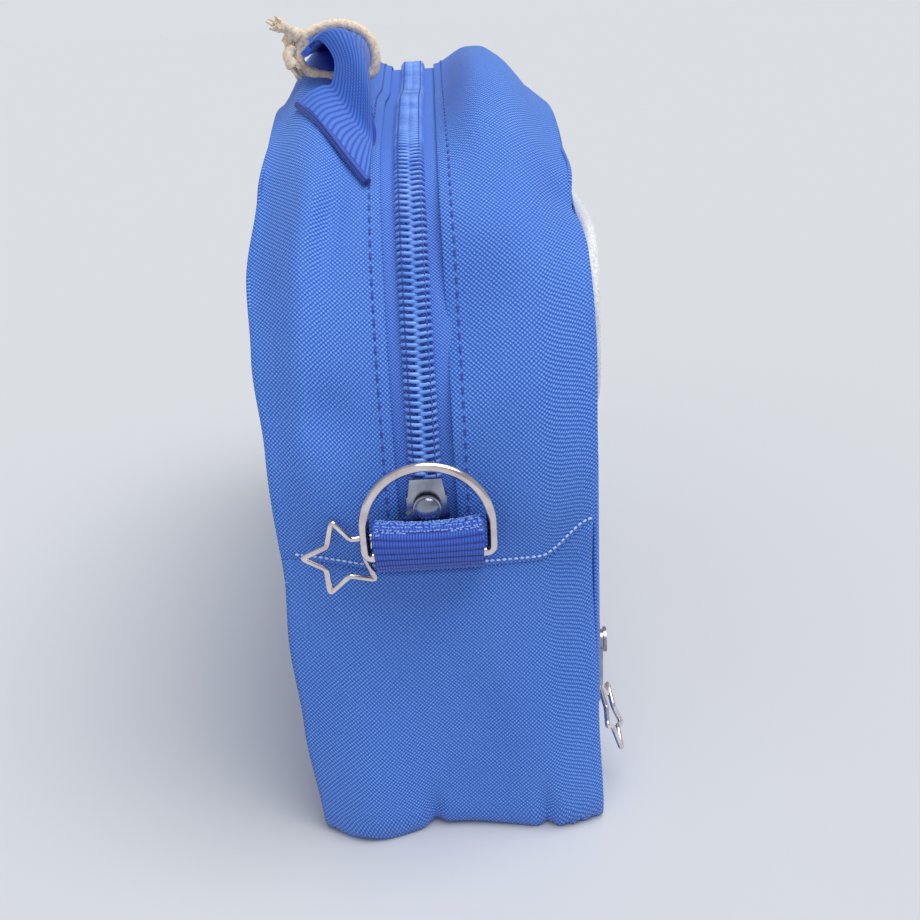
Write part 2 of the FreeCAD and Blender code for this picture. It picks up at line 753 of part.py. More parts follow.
grip = doc.addObject("PartDesign::Body", "grip")
grip_sketch = sketch_on(grip, "XZ_Plane", "grip_sketch")
grip_outline(grip_sketch)
raise_pad(grip, grip_sketch, "grip_width", middle=True)
for side in ("-", ""):
    neck = sketch_on(grip, "XY_Plane", "neck_sketch")
    middle, half = f"{side}handle_reach", "grip_thick / 2"
    neck_box = box_outline(f"{middle} - {half}", "-neck_width / 2", f"{middle} + {half}", "neck_width / 2")
    trace(neck, neck_box)
    raise_pad(grip, neck, "grip_foot + grip_thick / 4")
    roll = sketch_on(grip, "YZ_Plane", "roll_sketch", f"{middle} - roll_length / 2")
    ring_of(roll, "0", "0", "roll_width")
    raise_pad(grip, roll, "roll_length")
keep("handle_grip", on_handle(grip))

# Cord tied round the grip, with a knot at its back edge and two short tails
tie = doc.addObject("PartDesign::Body", "tie_loop")
tie_path = sketch_on(tie, "YZ_Plane", "tie_path")
tie_room = "(tie_play + tie_cord / 2)"
tie_low, tie_high = f"(grip_rise - grip_thick - {tie_room})", f"(grip_rise + {tie_room})"
tie_side = f"(grip_width / 2 + {tie_room})"
trace(tie_path, round_box(f"-{tie_side}", tie_low, tie_side, tie_high, "tie_bend"))
tie_section = sketch_on(tie, "XZ_Plane", "tie_section")
ring_of(tie_section, "0", tie_high, "tie_cord")
tie_pipe = tie.newObject("PartDesign::AdditivePipe", "tie_pipe")
tie_pipe.Profile = tie_section
tie_pipe.Spine = tie_path
knot = make("Part::Sphere", "knot", Radius="knot_width / 2")
knot_y = "(grip_width / 2 + tie_play + tie_cord / 4 + knot_width / 2)"
knot_z = "(grip_rise - grip_thick / 2)"
place(knot, y=knot_y, z=knot_z)
tails = []
for side, aim in (("", "90 + grip_lean - tail_spread"), ("-", "90 + grip_lean + tail_spread")):
    tail = make("Part::Cylinder", "tie_tail", Radius="tie_cord / 2", Height="tail_length")
    turn(tail, (-1, 0, 0), aim)
    tails.append(place(tail, x=f"{side}tail_offset", y=knot_y, z=knot_z))
tie_whole = join("Part::MultiFuse", "tie_whole", [tie, knot, *tails])
keep("handle_tie", on_handle(tie_whole, "-(handle_reach - tie_inset)"))


# Padded decoration on the front, each patch with corded piping round it

def front_patch(label, outlines, thick):
    keep(label, plate(f"{label}_sheet", outlines, f"(-layer_gap - {thick})", "(-layer_gap)", -1))


def upper_outline(grow):
    # A long round-ended patch above the fold line.
    foot = f"({fold_z} + patch_fold_margin)"
    side = f"({reach('patch_margin', f'({foot} + patch_height / 2)')} + {grow})"
    radius = f"(patch_height / 2 - piping + {grow})"
    return round_box(f"-{side}", f"({foot} - {grow})", side, f"({foot} + patch_height + {grow})", radius)


front_patch("upper_patch", [upper_outline("0")], "patch_thick")
front_patch("upper_piping", [upper_outline("(piping + layer_gap)"), upper_outline("layer_gap")], "piping")


tape_half = "(tape_width - pocket_margin)"
pocket_place = f"({base_x} - fabric_thick - pocket_gap - {tape_half})"
pocket_top = f"({fold_z} - pocket_fold_gap)"
runner_height = "(pocket_foot + slider_length / 2 + pocket_slider_gap)"


def low_outline(grow):
    # The lower patch stops short of the pocket zip's star.
    side = f"({pocket_place} - star_radius - patch_zip_gap - piping - layer_gap + {grow})"
    foot = f"(lower_patch_foot - {grow})"
    top = f"({fold_z} - patch_fold_margin + {grow})"
    return round_box(f"-{side}", foot, side, top, f"(patch_radius + {grow})")


front_patch("lower_patch", [low_outline("0")], "patch_thick")
front_patch("lower_piping", [low_outline("(piping + layer_gap)"), low_outline("layer_gap")], "piping")


# Front pocket with an upright zip beside the near end

def on_front(thing, out, height):
    # Stands a piece at the pocket zip: its -X points out of the front, its +Y to the near end.
    turn(thing, (0, 0, 1), f"90 - asin({pocket_place} / {crown_radius}) / 1 deg")
    span = f"({crown_radius} + {out})"
    lean = f"asin({pocket_place} / {crown_radius})"
    return place(
        thing,
        x=f"-{span} * sin({lean})",
        y=f"{crown_radius} - {front_y} - {span} * cos({lean})",
        z=height,
    )


def upright(name, near, far, low, high, start, thick, both=True):
    # Upright slips on one or both sides of the pocket zip's middle.
    sides = [box_outline(near, low, far, high)]
    if both:
        sides.append(box_outline(f"-{far}", low, f"-{near}", high))
    return on_front(padded_body(name, "YZ_Plane", sides, thick, start), "0", "0")


window_depth = ("-end_depth / 4", "end_depth / 2")
window = upright("window", f"-{zip_edge}", zip_edge, "pocket_foot", pocket_top, *window_depth, both=False)
keep("front_lower_panel", cut("front_lower_cut", front_lower, window))
tape_low, tape_high = "(pocket_foot - pocket_margin)", f"({pocket_top} + pocket_margin)"
tape_depth = (f"{tape_in} + layer_gap", "tape_thick")
keep("pocket_zip_tapes", upright("pocket_tape", tape_edge, tape_half, tape_low, tape_high, *tape_depth))
coil_foot, coil_head = "(pocket_foot + stop_gap)", f"({pocket_top} - stop_gap)"
coil_depth = (coil_high, "coil_height")
keep("pocket_zip_coils", upright("pocket_coil", tape_edge, coil_edge, coil_foot, coil_head, *coil_depth))
keep("pocket_slider", on_front(slider("pocket_runner"), "0", runner_height))
keep("pocket_link", on_front(link("pocket_link_bar", "90"), link_mid, runner_height))
keep("pocket_star", on_front(star("pocket_star_wire", "90"), link_mid, runner_height))

doc.recompute()
for thing in doc.Objects:
    if "Invalid" in thing.State or "Error" in thing.State:
        raise RuntimeError(f"{thing.Label} failed: {thing.State}")
os.makedirs("parts", exist_ok=True)
for label, thing in nodes.items():
    shape = thing.Shape
    if shape.isNull() or not shape.isValid() or not shape.Solids:
        raise RuntimeError(f"{label} has no sound solid")
for label, thing in nodes.items():
    thing.Shape.exportStep(f"parts/{label}.step")
    print(label, len(thing.Shape.Solids), round(thing.Shape.Volume, 1))
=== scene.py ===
import bpy
import math
import random
from mathutils import Matrix, Vector


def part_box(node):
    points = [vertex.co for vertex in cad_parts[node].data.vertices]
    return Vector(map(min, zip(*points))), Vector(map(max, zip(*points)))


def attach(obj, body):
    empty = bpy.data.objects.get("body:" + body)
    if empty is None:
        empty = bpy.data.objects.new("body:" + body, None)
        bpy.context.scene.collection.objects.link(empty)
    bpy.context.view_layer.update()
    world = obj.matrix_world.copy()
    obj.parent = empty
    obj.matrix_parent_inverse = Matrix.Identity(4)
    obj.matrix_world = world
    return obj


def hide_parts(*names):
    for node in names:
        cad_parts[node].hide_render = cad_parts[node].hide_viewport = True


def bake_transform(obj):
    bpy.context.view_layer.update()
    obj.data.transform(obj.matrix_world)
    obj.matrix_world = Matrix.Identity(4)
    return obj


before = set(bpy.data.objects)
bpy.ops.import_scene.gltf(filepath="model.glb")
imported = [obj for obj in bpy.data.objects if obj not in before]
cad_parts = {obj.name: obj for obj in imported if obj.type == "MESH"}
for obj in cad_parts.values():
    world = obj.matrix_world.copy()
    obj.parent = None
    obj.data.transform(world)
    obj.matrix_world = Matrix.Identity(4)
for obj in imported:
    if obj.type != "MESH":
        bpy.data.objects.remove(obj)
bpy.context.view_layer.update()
mm = 0.001
random.seed(7)


def added(add, **settings):
    # what an add operator makes, with nothing else picked
    bpy.ops.object.select_all(action="DESELECT")
    add(**settings)
    return bpy.context.object


# camera, from the narrow end and a little above, turned slightly on its axis
view = {"lens": 43.5, "place": (-0.3296, -0.005, 0.1831), "down": 21.9, "roll": 3.3, "clip": 0.01}
camera = added(bpy.ops.object.camera_add)
camera.data.lens = view["lens"]
camera.data.clip_start = view["clip"]
camera.matrix_world = (
    Matrix.Translation(view["place"])
    @ Matrix.Rotation(math.radians(-90), 4, "Z")
    @ Matrix.Rotation(math.radians(90 - view["down"]), 4, "X")
    @ Matrix.Rotation(math.radians(-view["roll"]), 4, "Z")
)
bpy.context.scene.camera = camera


def smooth(x):
    x = min(max(x, 0.0), 1.0)
    return x * x * (3 - 2 * x)


def swell(x, width):
    return math.exp(-((x / width) ** 2))


def through(*pairs):
    # a soft line through a few (place, value) pairs, level past its ends
    def at(x):
        if x <= pairs[0][0]:
            return pairs[0][1]
        for (a, p), (b, q) in zip(pairs, pairs[1:]):
            if x <= b:
                return p + (q - p) * smooth((x - a) / (b - a))
        return pairs[-1][1]

    return at


def rgb(code):
    # sRGB hex to the linear values that shaders use
    parts = [int(code[i : i + 2], 16) / 255 for i in (0, 2, 4)]
    return tuple(p / 12.92 if p <= 0.04045 else ((p + 0.055) / 1.055) ** 2.4 for p in parts) + (1,)


def addNode(tree, kind, settings=None, links=None):
    made = tree.nodes.new(kind)
    for key, value in (settings or {}).items():
        if isinstance(key, str) and hasattr(made, key):
            setattr(made, key, value)
        else:
            made.inputs[key].default_value = value
    for key, source in (links or {}).items():
        tree.links.new(source, made.inputs[key])
    return made


def reckon(tree, operation, *values, clamp=False):
    # one step of shader arithmetic; each value is a number or another node's output
    made = addNode(tree, "ShaderNodeMath", {"operation": operation, "use_clamp": clamp})
    for socket, value in zip(made.inputs, values):
        if isinstance(value, float):
            socket.default_value = value
        else:
            tree.links.new(value, socket)
    return made.outputs[0]


def coordinate(tree, kind):
    return addNode(tree, "ShaderNodeTexCoord").outputs[kind]


def noise(tree, vector, scale, detail):
    return addNode(tree, "ShaderNodeTexNoise", {"Scale": scale, "Detail": detail}, {"Vector": vector}).outputs["Fac"]


def voronoi(tree, scale):
    return addNode(tree, "ShaderNodeTexVoronoi", {"Scale": scale}, {"Vector": coordinate(tree, "Object")})


def paint(tree, shader, fac, *stops):
    made = addNode(tree, "ShaderNodeValToRGB", links={"Fac": fac})
    while len(made.color_ramp.elements) < len(stops):
        made.color_ramp.elements.new(0.5)
    for element, (place, code) in zip(made.color_ramp.elements, stops):
        element.position = place
        element.color = rgb(code)
    tree.links.new(made.outputs["Color"], shader.inputs["Base Color"])


def emboss(tree, shader, height, strength, depth):
    made = addNode(tree, "ShaderNodeBump", {"Strength": strength, "Distance": depth * mm}, {"Height": height})
    tree.links.new(made.outputs["Normal"], shader.inputs["Normal"])


def newMaterial(name, **settings):
    material = bpy.data.materials.new(name)
    material.use_nodes = True
    shader = material.node_tree.nodes["Principled BSDF"]
    for key, value in settings.items():
        shader.inputs[key.replace("_", " ")].default_value = value
    return material, material.node_tree, shader


def weaveMaterial(name, across, along, low, mid, high, depth, roughness, sheen):
    # plain weave: each thread dips under the next, so raised dots stand in a chequer with holes between; the colour
    # follows that height, painted shade in the holes and a painted highlight on the raised dots
    material, tree, shader = newMaterial(name, Roughness=roughness, Sheen_Weight=sheen, Sheen_Roughness=0.45)
    uv, loose, fade = coordinate(tree, "UV"), 1.9, 0.12
    wobble = noise(tree, uv, scale=900.0, detail=1.0)
    parts = addNode(tree, "ShaderNodeSeparateXYZ", links={0: uv})
    waves = []
    for socket, pitch in (("X", across), ("Y", along)):
        angle = reckon(tree, "MULTIPLY", parts.outputs[socket], math.pi / (pitch * mm))
        waves.append(reckon(tree, "SINE", reckon(tree, "MULTIPLY_ADD", wobble, loose, angle)))
    chequer = reckon(tree, "MULTIPLY", *waves)
    limits = {"From Min": -1.0, "From Max": 1.0}
    height = addNode(tree, "ShaderNodeMapRange", limits, {"Value": chequer}).outputs[0]
    worn = noise(tree, coordinate(tree, "Object"), scale=38.0, detail=3.0)
    shift = reckon(tree, "MULTIPLY_ADD", worn, fade, -fade / 2)
    level = reckon(tree, "ADD", height, shift, clamp=True)
    # painted shade and highlight: colour by thread height, plus the random fading
    paint(tree, shader, level, (0.08, low), (0.5, mid), (0.95, high))
    emboss(tree, shader, height, strength=0.8, depth=depth)
    return material


def ribMaterial(name, pitch, low, mid, high):
    # narrow woven tape: cords side by side, each crossed by fine filling threads; the colour follows the height,
    # painted shade in the grooves and a painted highlight where the threads catch the light
    material, tree, shader = newMaterial(name, Roughness=0.6, Sheen_Weight=0.25, Sheen_Roughness=0.4)
    parts = addNode(tree, "ShaderNodeSeparateXYZ", links={0: coordinate(tree, "UV")})
    filling, roundness = pitch * 0.42, 0.6
    waves = []
    for socket, step in (("X", pitch), ("Y", filling)):
        angle = reckon(tree, "MULTIPLY", parts.outputs[socket], math.pi / (step * mm))
        waves.append(reckon(tree, "ABSOLUTE", reckon(tree, "SINE", angle)))
    ribs = reckon(tree, "POWER", waves[0], roundness)
    height = reckon(tree, "MULTIPLY", ribs, reckon(tree, "MULTIPLY_ADD", waves[1], 0.5, 0.5))
    # painted shade and highlight: darker in the grooves, lighter on the raised threads
    paint(tree, shader, height, (0.1, low), (0.55, mid), (1.0, high))
    emboss(tree, shader, height, strength=0.7, depth=0.25)
    return material


def metalMaterial(name, bright, dull, roughness, spread):
    # plated metal: clear reflections, slightly uneven where the plating was handled
    material, tree, shader = newMaterial(name, Metallic=1.0)
    cloud = noise(tree, coordinate(tree, "Object"), scale=220.0, detail=4.0)
    paint(tree, shader, cloud, (0.35, dull), (0.65, bright))
    limits = {"To Min": roughness, "To Max": roughness + spread}
    rough = addNode(tree, "ShaderNodeMapRange", limits, {"Value": cloud})
    tree.links.new(rough.outputs[0], shader.inputs["Roughness"])
    emboss(tree, shader, cloud, strength=0.12, depth=0.05)
    return material


def threadMaterial(name, low, high, roughness, grain):
    # twisted thread or cord: soft fibre, lighter where fibres stand up
    material, tree, shader = newMaterial(name, Roughness=roughness, Sheen_Weight=0.3)
    fibre = noise(tree, coordinate(tree, "Object"), scale=1 / (grain * mm), detail=3.0)
    paint(tree, shader, fibre, (0.3, low), (0.7, high))
    emboss(tree, shader, fibre, strength=0.5, depth=0.15)
    return material


def foilMaterial(name):
    # foil laminated to foam: bright, creased all over in flat facets
    material, tree, shader = newMaterial(name, Metallic=0.85, Roughness=0.32)
    facets = voronoi(tree, 90.0).outputs["Distance"]
    paint(tree, shader, facets, (0.0, "D5D7DA"), (0.8, "A9ADB2"))
    emboss(tree, shader, facets, strength=0.5, depth=0.8)
    return material


def glitterMaterial(name):
    # black cloth with flakes glued on at all angles: most stay dark, a few flash
    material, tree, shader = newMaterial(name, Roughness=0.35)
    flakes = addNode(tree, "ShaderNodeSeparateColor", links={0: voronoi(tree, 1300.0).outputs["Color"]})
    shade, tilt = flakes.outputs[0], flakes.outputs[1]
    bright = 0.8
    paint(tree, shader, shade, (0.0, "060608"), (bright, "16161A"), (0.97, "8A8078"))
    tree.links.new(reckon(tree, "GREATER_THAN", shade, bright), shader.inputs["Metallic"])
    emboss(tree, shader, tilt, strength=0.9, depth=0.3)
    return material


# thread pitch of the outer cloth is 0.46 mm, drawn true; the tape's and padding's finer threads are drawn coarser
oxford = weaveMaterial("polyesterOxfordWeave", 0.46, 0.48, "2150B6", "3A70D6", "76B2FF", 0.24, 0.62, 0.12)
tapeCloth = weaveMaterial("zipTapeWeave", 0.40, 0.36, "2A54BA", "3E72D8", "70A4F2", 0.16, 0.6, 0.12)
paddingCloth = weaveMaterial("palePaddingWeave", 0.5, 0.5, "8FB0E4", "A8C4EE", "C6DAF6", 0.10, 0.7, 0.3)
pouchCloth = weaveMaterial("pouchTaffeta", 0.5, 0.5, "1C3274", "233E8C", "3456A8", 0.08, 0.55, 0.1)
webbing = ribMaterial("ribbedWebbing", 1.55, "2446B0", "3064D2", "5C94EE")
# the same webbing with darker colours: painted shade for the tabs' shaded fronts and the strap's hem
shadedWebbing = ribMaterial("shadedTightRibbedWebbing", 1.4, "0F2078", "1B379E", "3A68D2")
# painted light: loops much paler than the webbing, for the lit top of the tabs
litLoopThread = threadMaterial("litLooseWebbingLoops", "4F84E4", "92BCF6", 0.7, 0.5)
ringMetal = metalMaterial("rosyPlatedWire", "EFE6E6", "D6C9CA", 0.12, 0.1)
sliderMetal = metalMaterial("darkPlatedCasting", "B2B5C2", "8A8EA0", 0.18, 0.12)
coilNylon = threadMaterial("nylonMonofilament", "4C80DE", "78A8F6", 0.3, 6.0)
darkThread = threadMaterial("blueSewingThread", "1B3C9A", "2A50B4", 0.6, 0.4)
paleThread = threadMaterial("paleSewingThread", "9CC0F6", "CFE2FF", 0.6, 0.4)
cotton = threadMaterial("twistedCotton", "DDBE98", "FBEFDC", 0.85, 0.5)
pipingCotton = threadMaterial("whiteCordedPiping", "C9CBD0", "F4F4F2", 0.75, 0.6)
foil = foilMaterial("laminatedFoil")
glitter = glitterMaterial("glitterCloth")
print("materials ready")


def coat(piece, material):
    piece.data.materials.clear()
    piece.data.materials.append(material)


def finishPiece(piece, material, slot):
    coat(piece, material)
    for polygon in piece.data.polygons:
        polygon.use_smooth = True
    return piece


def pickOnly(piece):
    bpy.ops.object.select_all(action="DESELECT")
    piece.select_set(True)
    bpy.context.view_layer.objects.active = piece


def reface(piece, change, **settings):
    pickOnly(piece)
    bpy.ops.object.mode_set(mode="EDIT")
    bpy.ops.mesh.select_all(action="SELECT")
    change(**settings)
    bpy.ops.object.mode_set(mode="OBJECT")


def applied(piece, kind, **settings):
    made = piece.modifiers.new(kind, kind)
    for key, value in settings.items():
        setattr(made, key, value)
    bpy.ops.object.modifier_apply(modifier=made.name)


bagMiddle = Vector((0, 0, 0.09))


def facesIn(piece):
    return sum((face.center - bagMiddle).dot(face.normal) * face.area for face in piece.data.polygons) < 0


def sheet(wide, tall):
    # where a point of the cloth lies on the flat sheet that it is cut from
    return lambda u, v: (u * wide * mm, v * tall * mm)


def clothPiece(name, columns, rows, place, cloth, material, slot, thick=0.9, flip=None, edge=0.0, sink=0.0):
    # a flat grid, every point pulled to its place on the bag, then sunk under the outer cloth and given thickness
    piece = added(bpy.ops.mesh.primitive_grid_add, x_subdivisions=columns, y_subdivisions=rows, size=1)
    piece.name = piece.data.name = name
    flat = [(vertex.co.x + 0.5, vertex.co.y + 0.5) for vertex in piece.data.vertices]
    for vertex, (u, v) in zip(piece.data.vertices, flat):
        vertex.co = place(u, v)
    marks = piece.data.uv_layers.active.data
    for loop in piece.data.loops:
        marks[loop.index].uv = cloth(*flat[loop.vertex_index])
    if facesIn(piece) if flip is None else flip:
        reface(piece, bpy.ops.mesh.flip_normals)
    if sink:
        piece.data.update()
        normals = [vertex.normal.copy() for vertex in piece.data.vertices]
        for vertex, normal in zip(piece.data.vertices, normals):
            vertex.co -= normal * sink * mm
    applied(piece, "SOLIDIFY", thickness=thick * mm, offset=-1)
    if edge:
        applied(piece, "BEVEL", width=edge * mm, segments=2, angle_limit=math.radians(50))
    return finishPiece(piece, material, slot)


def meshPiece(name, points, faces, material, slot, marks=None):
    mesh = bpy.data.meshes.new(name)
    mesh.from_pydata(points, [], faces)
    if marks:
        layer = mesh.uv_layers.new(name="UVMap")
        for loop in mesh.loops:
            layer.data[loop.index].uv = marks[loop.vertex_index]
    piece = bpy.data.objects.new(name, mesh)
    bpy.context.scene.collection.objects.link(piece)
    return finishPiece(piece, material, slot)


def nurbsLine(points, closed=False, steps=10):
    curve = bpy.data.curves.new("route", "CURVE")
    curve.dimensions = "3D"
    curve.resolution_u = steps
    spline = curve.splines.new("NURBS")
    spline.points.add(len(points) - 1)
    for point, place in zip(spline.points, points):
        point.co = (*place, 1)
    spline.order_u = 3
    spline.use_endpoint_u = not closed
    spline.use_cyclic_u = closed
    holder = bpy.data.objects.new("route", curve)
    bpy.context.scene.collection.objects.link(holder)
    bpy.context.view_layer.update()
    mesh = bpy.data.meshes.new_from_object(holder)
    line = [vertex.co.copy() for vertex in mesh.vertices]
    bpy.data.objects.remove(holder)
    bpy.data.curves.remove(curve)
    bpy.data.meshes.remove(mesh)
    return line


def evenly(line, step, closed=False):
    # the same line with points a fixed step apart
    line = line + [line[0]] if closed else line
    lengths = [(b - a).length for a, b in zip(line, line[1:])]
    total = sum(lengths)
    count = max(2, round(total / step))
    out, at, piece = [], 0.0, 0
    for k in range(count if closed else count + 1):
        want = total * k / count
        while piece < len(lengths) - 1 and at + lengths[piece] < want:
            at += lengths[piece]
            piece += 1
        share = (want - at) / lengths[piece] if lengths[piece] else 0
        out.append(line[piece].lerp(line[piece + 1], min(share, 1)))
    return out


def tubeFaces(count, sides, closed=False):
    # rings of points joined to a tube, capped at its ends unless it is a loop
    faces = []
    for k in range(count if closed else count - 1):
        here, ahead = k * sides, (k + 1) % count * sides
        faces += [(here + n, here + (n + 1) % sides, ahead + (n + 1) % sides, ahead + n) for n in range(sides)]
    if not closed:
        faces.append(tuple(reversed(range(sides))))
        faces.append(tuple((count - 1) * sides + n for n in range(sides)))
    return faces


# how a rope is laid; a wire has no groove between its strands
cordLay = {"strands": 3, "twist": 7.0, "groove": 0.22, "sides": 16}
tailLay = {"strands": 3, "twist": 6.0, "groove": 0.25, "sides": 14}
fibreLay = {"strands": 2, "twist": 3.0, "groove": 0.1, "sides": 5}
pipingLay = {"strands": 5, "twist": 9.0, "groove": 0.14, "sides": 14}
wireLay = {"strands": 2, "twist": 400.0, "groove": 0.0, "sides": 12}


def ropePiece(name, line, radius, lay, material, slot, closed=False, taper=None):
    # a tube whose surface is twisted strands
    count, sides, groove = len(line), lay["sides"], lay["groove"]
    points, marks = [], []
    axis = None
    run = 0.0
    for k, place in enumerate(line):
        ahead = line[(k + 1) % count] if closed or k + 1 < count else place
        behind = line[k - 1] if closed or k else place
        along = (ahead - behind).normalized()
        if axis is None:
            axis = along.orthogonal().normalized()
        axis = (axis - along * axis.dot(along)).normalized()
        other = along.cross(axis)
        run += (place - line[k - 1]).length if k else 0
        size = radius * (taper(k / (count - 1)) if taper else 1)
        for n in range(sides):
            angle = 2 * math.pi * n / sides
            strand = abs(math.cos(lay["strands"] / 2 * (angle - 2 * math.pi * run / (lay["twist"] * mm))))
            out = size * (1 - groove + groove * strand ** 0.5) * mm
            points.append(place + (axis * math.cos(angle) + other * math.sin(angle)) * out)
            marks.append((n / sides * 2 * math.pi * radius * mm, run))
    return meshPiece(name, points, tubeFaces(count, sides, closed), material, slot, marks)


def copiesPiece(name, seed, frames, material, slot):
    # one small shape set down at each frame, all in one mesh
    points, faces = [], []
    shape, sides = seed
    for matrix in frames:
        start = len(points)
        points += [matrix @ Vector(p) for p in shape]
        faces += [tuple(start + n for n in side) for side in sides]
    return meshPiece(name, points, faces, material, slot)


def ballSeed(**settings):
    ball = added(bpy.ops.mesh.primitive_uv_sphere_add, **settings)
    mesh = ball.data
    seed = [tuple(v.co) for v in mesh.vertices], [tuple(p.vertices) for p in mesh.polygons]
    bpy.data.objects.remove(ball)
    bpy.data.meshes.remove(mesh)
    return seed


def frameAt(place, along, up, sizes):
    along = along.normalized()
    across = up.cross(along).normalized()
    up = along.cross(across)
    turn = Matrix((along, across, up)).transposed().to_4x4()
    return Matrix.Translation(place) @ turn @ Matrix.Diagonal((*(size * mm for size in sizes), 1))


zipStitch = {"length": 2.1, "gap": 0.8, "width": 0.62}
seamStitch = {"length": 1.05, "gap": 0.25, "width": 0.6}
beadSeed = ballSeed(segments=8, ring_count=5, radius=0.5)


def stitchPiece(name, line, normals, stitch, material, slot, sink=0.0):
    # four marks to a stitch and its gap, a bead at each fourth
    marks = evenly(line, (stitch["length"] + stitch["gap"]) * mm / 4)
    size = (stitch["length"], stitch["width"], stitch["width"] * 0.8)
    frames = []
    for k in range(2, len(marks) - 2, 4):
        near = min(range(len(line)), key=lambda n: (line[n] - marks[k]).length_squared)
        spot = marks[k] + normals[near] * sink * mm
        frames.append(frameAt(spot, marks[k + 2] - marks[k - 2], normals[near], size))
    return copiesPiece(name, beadSeed, frames, material, slot)


# shape of the soft bag in millimetres: a path over the top and down both ends, with the cloth's rise from it
bag = {"halfFlat": 26.5, "topRadius": 86.0, "shoulderZ": 87.0, "halfBase": 110.6, "seamZ": 69.0, "corner": 6.0,
       "zipY": 2.5, "zipHalf": 6.25, "foldZ": 95.0, "foldSoft": 5.0, "floor": 0.2,
       "stripWide": 28, "gussetWide": 68, "length": 225, "height": 173}
wall = bag["seamZ"] - bag["corner"]
innerBase = bag["halfBase"] - bag["corner"]
endTurn = math.pi / 2 + math.asin((bag["shoulderZ"] - bag["seamZ"]) / bag["topRadius"])
pathEnd = bag["halfFlat"] + bag["topRadius"] * endTurn
pathHalf = pathEnd + wall + bag["corner"] * math.pi / 2 + innerBase


def onPath(a):
    # place and outward direction at a distance along the path from the middle of the top, less than 0 at the near end
    side = -1 if a < 0 else 1
    run = abs(a)
    if run <= pathEnd:
        turn = max(run - bag["halfFlat"], 0) / bag["topRadius"]
        x = min(run, bag["halfFlat"]) + bag["topRadius"] * math.sin(turn)
        z = bag["shoulderZ"] + bag["topRadius"] * math.cos(turn)
        return side * x, z, side * math.sin(turn), math.cos(turn)
    down = run - pathEnd
    if down < wall:
        return side * bag["halfBase"], bag["seamZ"] - down, side, 0.0
    bend = (down - wall) / bag["corner"]
    if bend < math.pi / 2:
        c, s = math.cos(bend), math.sin(bend)
        return side * (innerBase + bag["corner"] * c), bag["corner"] * (1 - s), side * c, -s
    return side * (innerBase - (down - wall - bag["corner"] * math.pi / 2)), 0.0, 0.0, -1.0


def turnAt(a):
    return math.degrees(max(abs(a) - bag["halfFlat"], 0) / bag["topRadius"])


def pathAt(turn):
    return bag["halfFlat"] + bag["topRadius"] * math.radians(turn)


def lifted(a, y, rise):
    x, z, nx, nz = onPath(a)
    return Vector(((x + nx * rise) * mm, y * mm, (z + nz * rise) * mm))


def outward(a):
    nx, nz = onPath(a)[2:]
    return Vector((nx, 0, nz))


# by degrees round the shoulder: half width, crest, fall to the rim and where it starts; foot is half width by height.
# creases of the near end: height, turn, slant, width and fade; folds of the panel: height, z, slant, width, x, reach
front = {
    "sign": -1, "body": "front", "dip": 0.36, "skew": 1.0, "seamHalf": 33.0,
    "half": through((0, 32.0), (28, 32.5), (38, 33.6), (45, 32.9), (55, 34.8), (68, 35.0), (82, 34.4), (102, 33.0)),
    "crest": through((0, 0.6), (30, 1.8), (58, 3.2), (100, 1.6)),
    "drop": through((0, -12.0), (28, -9.0), (50, -4.0), (70, -1.6), (100, -0.8)),
    "start": through((0, 0.45)),
    "foot": through((2, 34.8), (30, 34.0), (69, 33.0)),
    "creases": ((1.6, 50, 10, 7, 0), (-1.5, 66, -18, 6, 1), (1.2, 80, -14, 5, 1)),
    "folds": ((0.28, 128, 0.35, 9, -70, 40), (-0.245, 60, -0.25, 8, 50, 45)),
}
back = {
    "sign": 1, "body": "bag", "dip": 0.5, "skew": 1.2, "seamHalf": 35.4,
    "half": through((0, 33.5), (28, 34.5), (40, 36.5), (55, 39.0), (68, 38.0), (82, 36.2), (102, 35.4)),
    "crest": through((0, 3.4), (30, 0.9), (60, 1.0), (100, 1.0)),
    "drop": through((0, -10.0), (20, -6.0), (34, -4.0), (50, -3.4), (70, -1.6), (100, -0.8)),
    "start": through((8, 0.66), (38, 0.46)),
    "foot": through((2, 32.6), (30, 35.0), (52, 36.2), (69, 35.4)),
    "folds": ((1.04, 128, 0.35, 9, -70, 40), (-0.91, 60, -0.25, 8, 50, 45), (0.9, 30, 0.2, 10, 10, 60)),
}
zipLine = through((-98, 0.0), (-46, -10.0), (-6, -10.0), (40, -3.6), (98, 0.0))
ridgeAt = through((40, 0.52), (85, 0.68))
ridgeTall = through((36, 0), (46, 1.5), (80, 1.5), (96, 0))
# depth, turn, width, place across, its slant and half width
backDents = ((2.0, 77, 5, 0.5, 0.0, 0.25), (1.9, 49, 8, 0.367, 0.007, 0.1))
seam = {"rise": 1.2, "front": (8.6, 21, 12), "back": (3.6, 10, 24), "lift": 0.9, "fall": 1.7, "half": 33, "soft": 16}


def seamRise(y):
    # the cross seam climbs towards both broad sides, most at the front
    rise = seam["rise"]
    for sign, (climb, start, width) in ((-1, seam["front"]), (1, seam["back"])):
        rise += climb * smooth((sign * y - start) / width)
    return rise


def seamLift(y):
    return seam["lift"] - seam["fall"] * (y / seam["half"]) ** 2


def joined(rise, past, y):
    # cloth comes to the seam's own height where it meets the seam
    near = smooth(past / seam["soft"])
    return rise * near + seamLift(y) * (1 - near)


